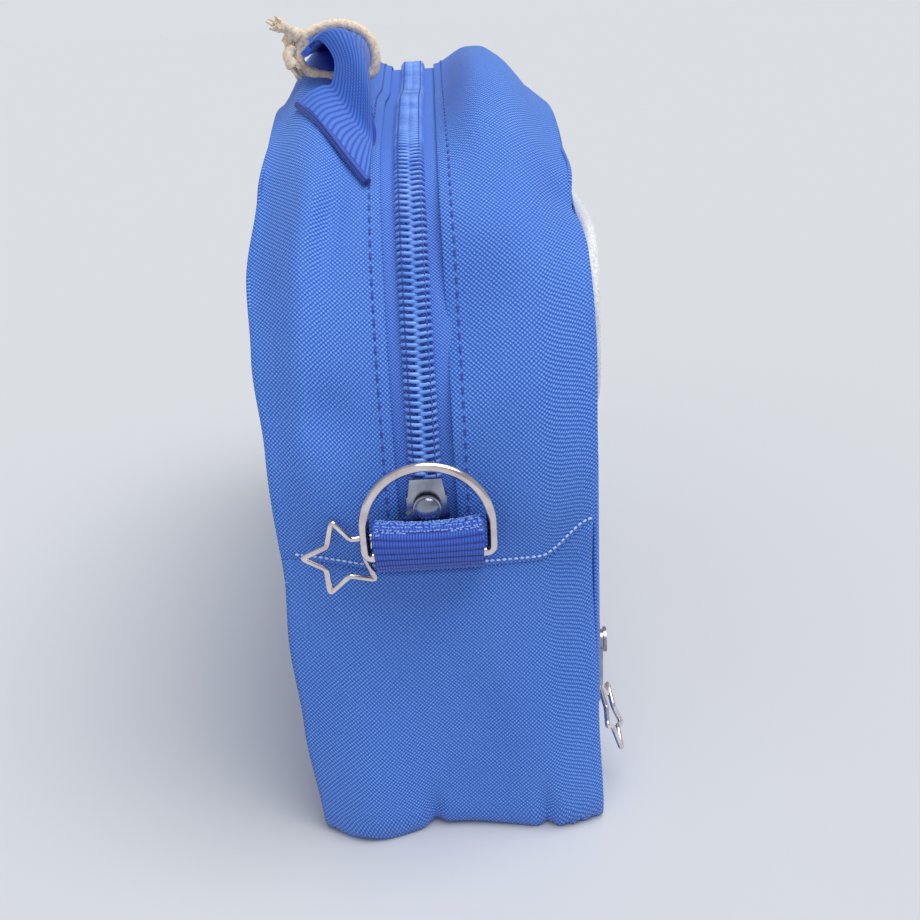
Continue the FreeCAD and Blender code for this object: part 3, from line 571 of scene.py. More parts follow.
def stripFolds(face, a, t):
    # soft folds of the near end, and a lighter one at the far end
    turn = turnAt(a)
    if a > 0:
        size, at, slant, width = 0.9, 62, 14, 9
        return size * swell(turn - at - slant * t, width) * math.sin(math.pi * t)
    if face is front:
        rise = 0.0
        for size, at, slant, width, fade in front["creases"]:
            rise += size * swell(turn - at - slant * t, width) * (1 - fade * t)
        notch, at, width, inner = 3.0, 45, 3.5, 0.7
        return rise - notch * swell(turn - at, width) * smooth((t - inner) / (1 - inner))
    past = t - ridgeAt(turn)
    rise = ridgeTall(turn) * swell(past, 0.12)
    hollow, fall, at, width = 4.5, 0.45, 56, 20
    rise -= hollow * smooth(past / fall) * swell(turn - at, width)
    for depth, at, width, across, slant, half in backDents:
        rise -= depth * swell(turn - at, width) * swell(t - across - slant * (turn - at), half)
    return rise


def stripRise(face, a, t, y):
    turn = turnAt(a)
    start = face["start"](turn)
    rise = zipLine(a) * (1 - smooth(t / face["dip"])) + stripFolds(face, a, t)
    rise += face["crest"](turn) * math.sin(math.pi * t ** face["skew"]) ** 1.2
    rise += face["drop"](turn) * smooth((t - start) / (1 - start)) ** 1.3
    return joined(rise, pathEnd - seamRise(y) - abs(a), y)


def stripY(face, a, t):
    edge = bag["zipY"] + face["sign"] * bag["zipHalf"]
    return edge + (face["sign"] * face["half"](turnAt(a)) - edge) * t


def stripPoint(face, a, t, more=0.0):
    y = stripY(face, a, t)
    return lifted(a, y, stripRise(face, a, t, y) + more)


def stripEnd(face, t):
    return pathEnd - seamRise(stripY(face, pathEnd, t))


def sew(piece, body, *nodes):
    # takes the place of its solids; what is sewn to the front is baked where it lies, the rest moves with one body
    if nodes:
        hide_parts(*nodes)
    if body == "front":
        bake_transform(piece)
    else:
        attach(piece, body)


outer = {"material": oxford, "slot": "outer_fabric"}
lined = {"material": foil, "slot": "lining_foil"}


def stripPiece(name, face, nodes, look, first=0.0, last=1.0, rows=150, **more):
    def place(u, v):
        t = first + (last - first) * u
        end = stripEnd(face, t)
        return stripPoint(face, -end + 2 * end * v, t)

    cloth = sheet(bag["stripWide"], 2 * pathEnd)
    sew(clothPiece(name, 20, rows, place, cloth, **look, **more), face["body"], *nodes)


# lobes of the near end that slump to the floor: height, y, width; puckers at the bottom edge: depth, y, slant, width,
# height; folds above it: height, y, slant, width
gusset = {"bulge": 1.6, "edge": 0.8, "drawn": 1.4, "under": (6, 8), "slump": (8, 56),
          "lobes": ((5.6, 20, 12), (5.2, -24, 16)), "puckers": ((2.2, 5.6, 0.0, 1.8, 3), (2.0, -21, -0.12, 1.6, 1)),
          "puckerReach": 7, "folds": ((0.7, 12, 0.5, 6), (-0.6, -8, -0.3, 7)), "foldDown": 40}


def gussetRise(a, s, y):
    # end wall bulges a little; the base is drawn up between its corners
    down = abs(a) - pathEnd
    low = down - wall
    under = smooth((low - gusset["under"][0]) / gusset["under"][1])
    rise = gusset["bulge"] * (1 - s * s) - gusset["edge"] * s * s - gusset["drawn"] * under * (1 - s ** 4)
    if a < 0:
        slump = smooth((down - gusset["slump"][0]) / gusset["slump"][1]) * (1 - under)
        for size, at, width in gusset["lobes"]:
            rise += slump * size * swell(y - at, width)
        for size, at, slant, width, height in gusset["puckers"]:
            rise -= size * swell(y - at - slant * low, width) * swell(low - height, gusset["puckerReach"])
        for size, at, slant, width in gusset["folds"]:
            rise += size * swell(y - at - slant * (down - gusset["foldDown"]), width)
    return joined(rise, down + seamRise(y), y)


def gussetPoint(a, s):
    y = s * (front if s < 0 else back)["foot"](onPath(a)[1])
    place = lifted(a, y, gussetRise(a, s, y))
    place.z = max(place.z, bag["floor"] * mm)
    return place


def gussetRun(s, v):
    first = pathEnd - seamRise(s * (front if s < 0 else back)["seamHalf"])
    share = v * 2 if v < 0.5 else 2 - v * 2
    run = first + (pathHalf - first) * share
    return -run if v < 0.5 else run


def gussetPiece(name, nodes, look, reach=1.0, **more):
    def place(u, v):
        s = reach * (2 * u - 1)
        return gussetPoint(gussetRun(s, v), s)

    cloth = sheet(bag["gussetWide"], 2 * (pathHalf - pathEnd))
    sew(clothPiece(name, 56, 190, place, cloth, **look, **more), "bag", *nodes)


stripPiece("backZipStripCloth", back, ["back_zip_strip"], outer, edge=0.3)
stripPiece("frontZipStripCloth", front, ["front_zip_strip", "front_strip_ends"], outer, edge=0.3)
gussetPiece("baseGussetCloth", ["base_gusset"], outer)
print("strips and gusset sewn")

# broad sides: half depth, bow along the bag, fall towards the top, and how soon the cloth leaves its seam
broad = {"y": 33.1, "bow": 3.5, "half": 112.5, "topZ": 152, "topSoft": 24, "topFall": 3.5, "margin": 22, "edge": 60}
cornerRun = pathEnd + wall + bag["corner"] * math.pi / 4
topRun = pathAt(35)


def rim(face, a):
    if abs(a) <= stripEnd(face, 1):
        return stripPoint(face, a, 1)
    return gussetPoint(a, face["sign"])


def coons(bottom, top, left, right):
    # a surface between four edges
    corners = bottom(0), bottom(1), top(0), top(1)

    def at(u, v):
        flat = (corners[0] * (1 - u) * (1 - v) + corners[1] * u * (1 - v)
                + corners[2] * (1 - u) * v + corners[3] * u * v)
        return bottom(u) * (1 - v) + top(u) * v + left(v) * (1 - u) + right(v) * u - flat

    return at


def panelSide(face):
    def base(u):
        run = cornerRun + (pathHalf - cornerRun) * (1 - abs(2 * u - 1))
        return rim(face, -run if u < 0.5 else run)

    def upright(sign):
        return lambda v: rim(face, sign * (cornerRun + (topRun - cornerRun) * v))

    return coons(base, lambda u: rim(face, topRun * (2 * u - 1)), upright(-1), upright(1))


def bow(x):
    return 1 - (x / broad["half"]) ** 2


def panelY(x, z):
    return broad["y"] + broad["bow"] * bow(x) - broad["topFall"] * smooth((z - broad["topZ"]) / broad["topSoft"])


def panelFolds(face, x, z):
    rise = 0.0
    for size, at, slant, width, middle, reach in face["folds"]:
        rise += size * swell(z - at - slant * x, width) * swell(x - middle, reach)
    return rise


def panelMargin(face, x, z):
    # how far a place on a broad side lies in from the seam round it
    out, up = max(abs(x) - bag["halfFlat"], 0), z - bag["shoulderZ"]
    if z < bag["seamZ"]:
        return min(bag["halfBase"] - abs(x), z)
    turn = math.degrees(math.atan2(out, up))
    a = math.copysign(pathAt(turn) if out else min(abs(x), bag["halfFlat"]), x)
    level = min(bag["topRadius"] - math.hypot(out, up), z)
    return level + (stripRise(face, a, 1, stripY(face, a, 1)) if abs(a) < stripEnd(face, 1) else 0)


def panelPoint(face, surface, u, v):
    place = surface(u, v)
    x, z = place.x / mm, place.z / mm
    deep = smooth(panelMargin(face, x, z) / broad["margin"]) * smooth(min(u, 1 - u, v, 1 - v) * broad["edge"])
    inner = face["sign"] * (panelY(x, z) + panelFolds(face, x, z))
    place.y = (place.y / mm * (1 - deep) + inner * deep) * mm
    return place


def panelPiece(name, face, nodes, look, columns=96, rows=72, inset=0.0, **more):
    surface = panelSide(face)

    def place(u, v):
        return panelPoint(face, surface, inset + (1 - 2 * inset) * u, inset + (1 - 2 * inset) * v)

    cloth = sheet(bag["length"], bag["height"])
    sew(clothPiece(name, columns, rows, place, cloth, **look, **more), face["body"], *nodes)


panelPiece("backPanelCloth", back, ["back_panel"], outer)
panelPiece("frontPanelCloth", front, ["front_upper_panel", "front_lower_panel"], outer)
panelPiece("backFoilLining", back, ["back_lining"], lined, 48, 36, 0.03, sink=1.3, thick=2.6)
panelPiece("frontFoilLining", front, ["front_upper_lining", "front_lower_lining"], lined, 48, 36, 0.06,
           sink=6.3, thick=2.2)
# linings stop short of the seams
foam = {"sink": 1.6, "thick": 2.4}
stripPiece("backStripFoil", back, ["back_strip_lining"], lined, 0.4, 0.88, 90, **foam)
stripPiece("frontStripFoil", front, ["front_strip_lining", "front_strip_end_linings"], lined, 0.4, 0.88, 90, **foam)
gussetPiece("baseFoilLining", ["base_lining"], lined, 0.88, **foam)
print("panels and linings sewn")

# main zip: woven tapes, wound nylon teeth, rows of stitches
mainZip = {"tapeIn": 0.35, "tapeOut": 10.5, "tapeLow": -1.15, "tapeWide": 10, "tapeThick": 0.5,
           "pitch": 1.5, "last": 171.0, "sewnAt": 0.085, "threadOut": 2.35, "threadUp": 0.98,
           "thread": (1.35, 0.42, 0.42)}
tooth = {"wire": 0.42, "head": 1.25, "sides": 6, "line": (
    (0.32, 3.0, -0.9), (0.26, 3.05, 0.0), (0.18, 2.6, 0.62), (0.0, 1.4, 0.72), (-0.1, 0.2, 0.6), (-0.12, -0.45, 0.1))}


def tapePiece(name, face, nodes):
    def place(u, v):
        a = -pathEnd + 2 * pathEnd * v
        y = bag["zipY"] + face["sign"] * (mainZip["tapeIn"] + (mainZip["tapeOut"] - mainZip["tapeIn"]) * u)
        return lifted(a, y, zipLine(a) + mainZip["tapeLow"])

    cloth = sheet(mainZip["tapeWide"], 2 * pathEnd)
    sew(clothPiece(name, 8, 150, place, cloth, tapeCloth, "zip_tape", mainZip["tapeThick"]), face["body"], *nodes)


def toothSeed():
    # a leg from the tape, over the top and down into the other row, its head pressed wider
    line = [Vector(spot) for spot in tooth["line"]]
    last, sides = len(line) - 1, tooth["sides"]
    points = []
    for k, place in enumerate(line):
        along = (line[min(k + 1, last)] - line[max(k - 1, 0)]).normalized()
        flat = along.cross(Vector((1, 0, 0))).normalized()
        other = along.cross(flat)
        wide = tooth["wire"] * (tooth["head"] if k >= last - 1 else 1)
        for n in range(sides):
            angle = 2 * math.pi * n / sides
            points.append(tuple(place + flat * math.cos(angle) * tooth["wire"] + other * math.sin(angle) * wide))
    return points, tubeFaces(len(line), sides)


toothShape = toothSeed()


def mainPlaces():
    places = []
    for k in range(int(2 * mainZip["last"] / mainZip["pitch"])):
        a = -mainZip["last"] + k * mainZip["pitch"]
        place, ahead = (lifted(b, bag["zipY"], zipLine(b)) for b in (a, a + 0.4))
        along = (ahead - place).normalized()
        places.append((place, along, along.cross(Vector((0, 1, 0)))))
    return places


def coilPiece(name, sign, places, body, nodes):
    # one row of teeth; the back row stands half a pitch on, so that the two mesh
    shift = mainZip["pitch"] / 2 * mm if sign > 0 else 0
    frames = []
    for place, along, up in places:
        turn = Matrix((along, up.cross(along) * sign, up)).transposed().to_4x4()
        frames.append(Matrix.Translation(place + along * shift) @ turn @ Matrix.Scale(mm, 4))
    piece = copiesPiece(name, toothShape, frames, coilNylon, "zip_coil")
    reface(piece, bpy.ops.mesh.normals_make_consistent, inside=False)
    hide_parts(*nodes)
    sew(piece, body)


tapePiece("backTapeCloth", back, ["zip_tape_back"])
tapePiece("frontTapeCloth", front, ["zip_tape_front", "zip_tape_front_ends"])
mainTeeth = mainPlaces()
coilPiece("backCoilTeeth", back["sign"], mainTeeth, "bag", ["zip_coil_back"])
coilPiece("frontCoilTeeth", front["sign"], mainTeeth, "front", ["zip_coil_front", "zip_coil_front_ends"])


def zipStitches(name, face):
    first, step = 3 - pathEnd, 2.0
    places = [first + k * step for k in range(int(pathEnd) - 2)]
    line = [stripPoint(face, a, mainZip["sewnAt"]) for a in places]
    normals = [outward(a) for a in places]
    sew(stitchPiece(name, line, normals, zipStitch, darkThread, "zip_tape", 0.05), face["body"])


def coilStitches(name, face):
    frames = []
    for place, along, up in mainTeeth:
        aside = Vector((0, face["sign"] * mainZip["threadOut"] * mm, 0))
        spot = place + aside + up * mainZip["threadUp"] * mm + along * mainZip["pitch"] / 2 * mm
        frames.append(frameAt(spot, along, up, mainZip["thread"]))
    sew(copiesPiece(name, beadSeed, frames, darkThread, "zip_tape"), face["body"])


def seamThread(name, side):
    above, out, step, count = 1.6, 0.25, 1.5, 45
    ys = [-seam["half"] + k * step for k in range(count)]
    line = [lifted(side * (pathEnd - seamRise(y) - above), y, seamLift(y) + out) for y in ys]
    normals = [Vector((side, 0, 0))] * len(line)
    sew(stitchPiece(name, line, normals, seamStitch, paleThread, "outer_fabric"), "bag")


zipStitches("backZipStitches", back)
zipStitches("frontZipStitches", front)
coilStitches("backCoilThread", back)
coilStitches("frontCoilThread", front)
seamThread("nearSeamThread", -1)
seamThread("farSeamThread", 1)
print("zip and stitches done")

# webbing tab: a strip folded round the ring's bar and caught in the seam
tab = {"half": 11.5, "thick": 1.2, "ribs": 1.4, "ribTall": 0.22, "ribLow": 0.1, "step": 0.45, "wave": 0.25,
       "sag": 1.0, "sagZ": 78,
       "fold": [(-111.0, 72.4), (-114.2, 72.8), (-117.6, 74.5), (-120.4, 76.6), (-121.5, 79.0), (-121.5, 82.0),
                (-120.6, 84.2), (-118.8, 84.6), (-117.2, 83.6), (-116.9, 81.4), (-116.8, 79.4), (-116.2, 77.6),
                (-114.6, 76.0), (-112.8, 74.9), (-111.0, 74.3)]}


def tabPiece(name, side, node):
    line = evenly(nurbsLine([Vector((-side * x * mm, 0, z * mm)) for x, z in tab["fold"]]), tab["step"] * mm)
    count = len(line) - 1

    def place(u, v):
        k = min(int(v * count), count - 1)
        spot = line[k].lerp(line[k + 1], v * count - k)
        along = (line[k + 1] - line[k]).normalized()
        out = Vector((0, side, 0)).cross(along)
        run = v * count * tab["step"]
        rib = tab["ribTall"] * abs(math.sin(math.pi * run / tab["ribs"])) - tab["ribLow"]
        y = bag["zipY"] + (2 * u - 1) * (tab["half"] + tab["wave"] * math.sin(run * 0.45))
        sag = -tab["sag"] * (1 - (2 * u - 1) ** 2) * smooth((spot.z / mm - tab["sagZ"]) / 6)
        return Vector((spot.x, y * mm, spot.z + sag * mm)) + out * rib * mm

    def cloth(u, v):
        return (v * count * tab["step"] * mm, u * 2 * tab["half"] * mm)

    # painted shade: the tab takes the darker copy of the webbing
    piece = clothPiece(name, 24, count, place, cloth, shadedWebbing, "webbing", tab["thick"], flip=side > 0, edge=0.25)
    sew(piece, "bag", node)
    return piece


def tabLoops(name, piece):
    # threads of the weave stand up as small loops along the worn upper fold; their pale colour, set only on
    # upward-facing spots, is painted light for the lit top of the tab
    margin, below, size = 0.7, 1.9, (0.6, 0.4, 0.45)
    top = max(vertex.co.z for vertex in piece.data.vertices)
    frames = []
    for vertex in piece.data.vertices:
        inside = abs(vertex.co.y / mm - bag["zipY"]) < tab["half"] - margin
        if inside and vertex.co.z > top - below * mm and vertex.normal.z > 0.3:
            for n in range(2):
                shift = Vector((random.uniform(-0.2, 0.2), random.uniform(-0.5, 0.5), 0)) * mm
                along = Vector((random.uniform(-0.9, 0.9), 1, 0))
                frames.append(frameAt(vertex.co + shift, along, vertex.normal, size))
    sew(copiesPiece(name, beadSeed, frames, litLoopThread, "webbing"), "bag")


nearTab = tabPiece("nearTabWebbing", -1, "near_ring_tab")
farTab = tabPiece("farTabWebbing", 1, "far_ring_tab")
tabLoops("nearTabLoops", nearTab)
tabLoops("farTabLoops", farTab)


def square(x, *spots):
    return [(x, y, z) for y, z in spots]


# handle: flat hemmed end on the back strip, the strap then arches and runs along as a folded grip.
# sewn rows are turn, y and lift over the strip; the others are places
handle = {"thick": 1.3, "wide": 25, "half": 100, "clear": 0.4, "edge": 0.3, "hem": 0.95, "hemLow": 0.75,
          "bend": (72, 58), "sewn": [
    [(43.0, 11.4, 0.0), (38.4, 15.4, 0.0), (33.8, 19.4, 0.0), (29.1, 23.4, 0.0), (24.5, 27.4, 0.0)],
    [(39.5, 10.8, 0.0), (35.4, 14.6, 0.0), (31.4, 18.2, 0.0), (27.6, 21.6, 0.1), (24.0, 24.6, 0.3)],
    [(35.8, 10.5, 0.0), (32.4, 13.4, 0.0), (29.2, 16.2, 0.1), (26.2, 19.0, 0.4), (23.2, 21.6, 0.8)],
    [(32.0, 10.4, 0.0), (29.2, 12.2, 0.6), (26.8, 14.6, 1.2), (24.6, 17.0, 1.6), (22.6, 19.4, 1.6)],
], "near": [
    [(-66.6, 10.4, 165.0), (-65.6, 11.2, 170.0), (-64.6, 13.2, 173.2), (-63.0, 15.8, 174.2), (-61.2, 18.4, 174.8)],
    [(-63.6, 10.4, 166.6), (-63.2, 10.8, 173.0), (-63.0, 13.8, 178.8), (-62.2, 18.2, 180.2), (-61.2, 21.4, 179.0)],
    [(-60.0, 10.6, 168.0), (-60.4, 10.9, 174.4), (-60.8, 14.4, 180.4), (-60.6, 20.4, 180.8), (-60.2, 25.6, 176.6)],
    square(-55.0, (10.9, 169.4), (11.6, 175.6), (15.4, 180.8), (21.2, 180.4), (26.0, 176.4)),
    square(-40.0, (11.6, 172.0), (12.4, 177.0), (16.6, 180.8), (22.0, 180.0), (25.8, 176.8)),
    square(-20.0, (12.4, 173.2), (13.4, 177.6), (17.6, 180.8), (22.4, 179.8), (25.4, 176.8)),
], "middle": [
    square(0.0, (13.4, 173.0), (14.4, 177.2), (18.4, 180.4), (22.8, 179.4), (25.4, 176.8)),
], "far": [
    square(24.0, (14.6, 172.4), (15.6, 176.2), (19.2, 179.2), (23.4, 178.4), (25.8, 176.0)),
    square(44.0, (15.4, 170.0), (16.4, 173.8), (19.8, 177.0), (23.8, 176.4), (26.4, 173.0)),
    [(58.0, 14.4, 167.6), (58.2, 16.4, 170.4), (58.4, 20.0, 172.8), (58.2, 24.2, 172.2), (58.0, 27.4, 169.4)],
], "farSewn": [[(turn, 9.0 + 25.0 * k / 4, 0.0) for k in range(5)] for turn in (29, 34, 39, 44)]}


def backSurface(side, turn, y, more):
    # a spot just over the back strip, found by its height up the shoulder and its place across
    edge = bag["zipY"] + bag["zipHalf"]
    t = (y - edge) / (back["half"](turn) - edge)
    over = handle["thick"] + handle["clear"] + more
    return stripPoint(back, side * pathAt(turn), min(max(t, 0.0), 1.0), over)


def strapSections(side):
    free = handle["near"] + handle["middle"] if side < 0 else handle["middle"] + handle["far"]
    free = [[Vector(spot) * mm for spot in row] for row in free]
    sewn = [[backSurface(side, *spot) for spot in row] for row in handle["sewn" if side < 0 else "farSewn"]]
    return sewn + free if side < 0 else free + sewn


def catmull(values, place):
    # a smooth line through values, at a place counted in values
    k = min(int(place), len(values) - 2)
    f = place - k
    p0 = values[max(k - 1, 0)]
    p1, p2 = values[k], values[k + 1]
    p3 = values[min(k + 2, len(values) - 1)]
    bend, turn = p0 * 2 - p1 * 5 + p2 * 4 - p3, p1 * 3 - p0 - p2 * 3 + p3
    return (p1 * 2 + (p2 - p0) * f + bend * f * f + turn * f ** 3) * 0.5


def strapPiece(name, side, nodes):
    sections = strapSections(side)

    def place(u, v):
        across = [catmull(row, u * (len(row) - 1)) for row in sections]
        return catmull(across, v * (len(sections) - 1))

    cloth = sheet(handle["wide"], handle["half"])
    piece = clothPiece(name, 28, 120, place, cloth, webbing, "webbing", handle["thick"], edge=handle["edge"])
    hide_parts(*nodes)
    start, end = (side * x * mm for x in handle["bend"])
    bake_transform(piece)


def hemPiece(name, row):
    # the strap's end turned under and sewn down, so its edge is double
    line = nurbsLine([backSurface(-1, turn, y, more - handle["hemLow"]) for turn, y, more in row])
    # painted shade: the hem takes the darker copy of the webbing
    sew(ropePiece(name, evenly(line, 0.5 * mm), handle["hem"], wireLay, shadedWebbing, "webbing"), "bag")


strapPiece("nearStrapWebbing", -1, ["handle_end_near", "handle_grip"])
strapPiece("farStrapWebbing", 1, ["handle_end_far"])
hemPiece("nearStrapHem", handle["sewn"][0])
print("tabs and handle done")

# cotton cord tied round the grip, its ends frayed
tie = {"x": -52.0, "radius": 1.25, "worn": 1.3, "fibre": 0.26, "fibres": 26,
       "loop": [(9.0, 174.2), (10.2, 179.2), (14.6, 182.0), (20.4, 182.2), (25.6, 180.0), (28.0, 176.6),
                (26.0, 171.8), (18.0, 170.2), (10.4, 170.0)],
       "knot": (27.4, 178.6),
       "tails": [[(27.0, 179.6, -1), (28.4, 181.2, -2), (29.6, 182.0, -3), (30.8, 182.6, -4)],
                 [(28.4, 177.6, -1), (29.6, 176.4, -2), (29.4, 174.8, -2.5), (28.6, 173.6, -2)]]}


def tieSpot(y, z, x=0.0):
    return Vector(((tie["x"] + x) * mm, y * mm, z * mm))


def knotSpot(k):
    radius, angle, start, climb = 2.3, k * 0.9, -1.2, 0.42
    y, z = tie["knot"]
    return tieSpot(y + radius * math.cos(angle), z + radius * math.sin(angle), start + climb * k)


def tieRope(name, line, radius, lay, closed=False, taper=None):
    return ropePiece(name, line, radius, lay, cotton, "cotton_cord", closed, taper)


loopLine = evenly(nurbsLine([tieSpot(y, z) for y, z in tie["loop"]], True), 0.6 * mm, True)
tieLoop = tieRope("tieLoop", loopLine, tie["radius"], cordLay, True)
knotLine = evenly(nurbsLine([knotSpot(k) for k in range(9)]), 0.5 * mm)
tiePieces = [tieLoop, tieRope("tieKnot", knotLine, tie["worn"], cordLay)]
for n, tail in enumerate(tie["tails"]):
    line = evenly(nurbsLine([tieSpot(*spot) for spot in tail]), 0.4 * mm)
    tiePieces.append(tieRope(f"tieTail{n + 1}", line, tie["worn"], tailLay, False, through((0.6, 1.0), (1.0, 1.25))))
    end, way = line[-1], (line[-1] - line[-4]).normalized()
    for k in range(tie["fibres"]):
        aside = Vector([random.uniform(-1, 1) for axis in range(3)])
        root = end - way * 1.2 * mm + aside * 0.8 * mm
        tip = end + way * random.uniform(1.0, 2.4) * mm + aside * 1.5 * mm
        bend = root.lerp(tip, 0.5) + Vector((0, 0, random.uniform(-0.6, 0.4))) * mm
        fibre = evenly(nurbsLine([root, bend, tip], steps=4), 0.8 * mm)
        tiePieces.append(tieRope(f"tieFibre{n + 1}.{k}", fibre, tie["fibre"], fibreLay))
pickOnly(tieLoop)
for piece in tiePieces:
    piece.select_set(True)
bpy.ops.object.join()
tieLoop.name = tieLoop.data.name = "cottonTie"
sew(tieLoop, "handle", "handle_tie")
print("tie done")

# padded patches on the front with corded piping round them
upper = {"side": 98.0, "foot": 100.0, "top": 136.0, "radius": 14.8, "fill": 0.6, "rise": 4.0, "rows": 24}
lower = {"side": 84.3, "foot": 22.0, "top": 90.0, "radius": 10.0, "fill": 0.5, "rise": 3.0, "rows": 36}
padding = {"columns": 84, "thick": 1.6, "edge": 0.7, "lift": 2.3, "held": 1.05,
           "pressure": 4.0, "tension": 8, "frames": 20}
piping = {"radius": 1.6, "grow": 1.65, "out": 1.3}


def boxEdge(patch, grow):
    # four edges of a box with round corners, each from the middle of one corner to the middle of the next
    r = patch["radius"] + grow
    middle = (patch["top"] + patch["foot"]) / 2
    halves = patch["side"] + grow - r, (patch["top"] - patch["foot"]) / 2 + grow - r

    def edge(axis, sign):
        half, other = halves[axis], halves[1 - axis]
        flat = half / (half + r * math.pi / 4)

        def at(u):
            w, way = abs(2 * u - 1), 1 if u > 0.5 else -1
            bend = math.pi / 4 * max(w - flat, 0) / (1 - flat)
            along = way * (half * min(w / flat, 1) + r * math.sin(bend))
            out = sign * (other + r * math.cos(bend))
            x, z = (along, out) if axis == 0 else (out, along)
            return Vector((x, middle + z, 0))

        return at

    return edge(0, -1), edge(0, 1), edge(1, -1), edge(1, 1)


def inflate(piece):
    # air pressure from inside, the back held where it is sewn down
    held = piece.vertex_groups.new(name="held")
    for vertex in piece.data.vertices:
        out = panelY(vertex.co.x / mm, vertex.co.z / mm) + vertex.co.y / mm
        held.add([vertex.index], 1.0 if out > -padding["held"] else 0.0, "REPLACE")
    soft = piece.modifiers.new("soft", "CLOTH")
    soft.settings.use_pressure = True
    soft.settings.uniform_pressure_force = padding["pressure"]
    soft.settings.vertex_group_mass = "held"
    soft.settings.tension_stiffness = padding["tension"]
    soft.settings.effector_weights.gravity = 0
    for number in range(padding["frames"]):
        bpy.context.scene.frame_set(number + 1)
    pickOnly(piece)
    bpy.ops.object.modifier_apply(modifier=soft.name)
    bpy.context.scene.frame_set(1)


def padPiece(name, patch, body, node, material, slot):
    surface = coons(*boxEdge(patch, 0))
    columns, rows = padding["columns"], patch["rows"]

    def place(u, v):
        spot = surface(u, v)
        inside = min(min(u, 1 - u) * columns, min(v, 1 - v) * rows) / 3
        out = padding["edge"] + padding["lift"] * smooth(inside)
        return Vector((spot.x * mm, -(panelY(spot.x, spot.y) + out) * mm, spot.y * mm))

    def cloth(u, v):
        spot = surface(u, v)
        return (spot.x * mm, spot.y * mm)

    piece = clothPiece(name, columns, rows, place, cloth, material, slot, padding["thick"])
    rest = [v.co.copy() for v in piece.data.vertices]
    inflate(piece)
    for vertex, start in zip(piece.data.vertices, rest):
        move = vertex.co - start
        if move.length > patch["rise"] * mm:
            vertex.co = start + move.normalized() * patch["rise"] * mm
    pickOnly(piece)
    applied(piece, "SUBSURF", levels=1, render_levels=1)
    finishPiece(piece, material, slot)
    sew(piece, body, node)


def edgeLine(edge, count=60):
    bottom, top, left, right = edge
    loop = [bottom(k / count) for k in range(count)] + [right(k / count) for k in range(count)]
    return loop + [top(1 - k / count) for k in range(count)] + [left(1 - k / count) for k in range(count)]


def pipingPiece(name, patch, node):
    edge = edgeLine(boxEdge(patch, piping["grow"]))
    loop = [Vector((p.x * mm, -(panelY(p.x, p.y) + piping["out"]) * mm, p.y * mm)) for p in edge]
    line = evenly(loop, 0.7 * mm, True)
    piece = ropePiece(name, line, piping["radius"], pipingLay, pipingCotton, "white_piping", True)
    sew(piece, "front", node)


padPiece("upperPad", upper, "front_flap", "upper_patch", paddingCloth, "pale_padding")
padPiece("lowerPad", lower, "bag", "lower_patch", glitter, "glitter_cloth")
pipingPiece("upperCordedPiping", upper, "upper_piping")
pipingPiece("lowerCordedPiping", lower, "lower_piping")
print("padded patches done")

# front pocket: upright zip near the near end, with its pouch inside
pocket = {"x": -98.6, "foot": 30.0, "top": 91.0, "half": 6.0, "first": 34.5, "last": 86.5, "y": 33.0,
          "tapeOut": 0.75, "tapeThick": 0.8, "teethOut": 0.35, "facing": (-0.0545, -0.9985, 0)}


def pocketSpot(x, z, out):
    lean = 2 * broad["bow"] * x / broad["half"] ** 2
    return Vector(((x + lean * out) * mm, -(pocket["y"] + broad["bow"] * bow(x) + out) * mm, z * mm))


def pocketTape(name):
    tall = pocket["top"] - pocket["foot"]

    def place(u, v):
        return pocketSpot(pocket["x"] + (2 * u - 1) * pocket["half"], pocket["foot"] + tall * v, pocket["tapeOut"])

    cloth = sheet(2 * pocket["half"], tall)
    piece = clothPiece(name, 10, 40, place, cloth, tapeCloth, "zip_tape", pocket["tapeThick"])
    sew(piece, "bag", "pocket_zip_tapes")


def pocketTeeth():
    places = []
    for k in range(int((pocket["last"] - pocket["first"]) / mainZip["pitch"])):
        place = pocketSpot(pocket["x"], pocket["first"] + k * mainZip["pitch"], pocket["teethOut"])
        places.append((place, Vector((0, 0, 1)), Vector(pocket["facing"])))
    for sign, name in ((1, "pocketTeethNear"), (-1, "pocketTeethFar")):
        coilPiece(name, sign, places, "bag", ["pocket_zip_coils"] if sign > 0 else [])


def pocketPouch(name):
    half, foot, tall, deep, full, ripple = 106, 5.5, 88, 28.2, 2.2, 0.6

    def place(u, v):
        x, z = half * (2 * u - 1), foot + tall * v
        wave = ripple * math.sin(x * 0.21) * math.sin(z * 0.17)
        return Vector((x * mm, -(deep + full * bow(x) - wave) * mm, z * mm))

    piece = clothPiece(name, 40, 20, place, sheet(2 * half, tall), pouchCloth, "pouch_cloth", 0.4)
    sew(piece, "bag", "pocket_pouch")


def pocketFold(name, side):
    # the panel's cloth turned back along the opening
    over, wide, past, low, high = 2.6, 4.4, 1, 0.5, 1.3
    tall = pocket["top"] - pocket["foot"] + 2 * past

    def place(u, v):
        x = pocket["x"] + side * (pocket["half"] - over + wide * u)
        return pocketSpot(x, pocket["foot"] - past + tall * v, low + high * math.sin(math.pi * u) ** 0.6)

    sew(clothPiece(name, 8, 40, place, sheet(wide, tall), oxford, "outer_fabric", 0.5), "bag")


pocketTape("pocketTapeCloth")
pocketFold("pocketFoldNear", -1)
pocketFold("pocketFoldFar", 1)
pocketTeeth()
pocketPouch("pocketPouchCloth")

# stars bent from round wire, each set in its solid's own plane
starWire = {"radius": 0.68, "tip": 8.9, "waist": 4.5, "soft": 0.28, "points": 5}


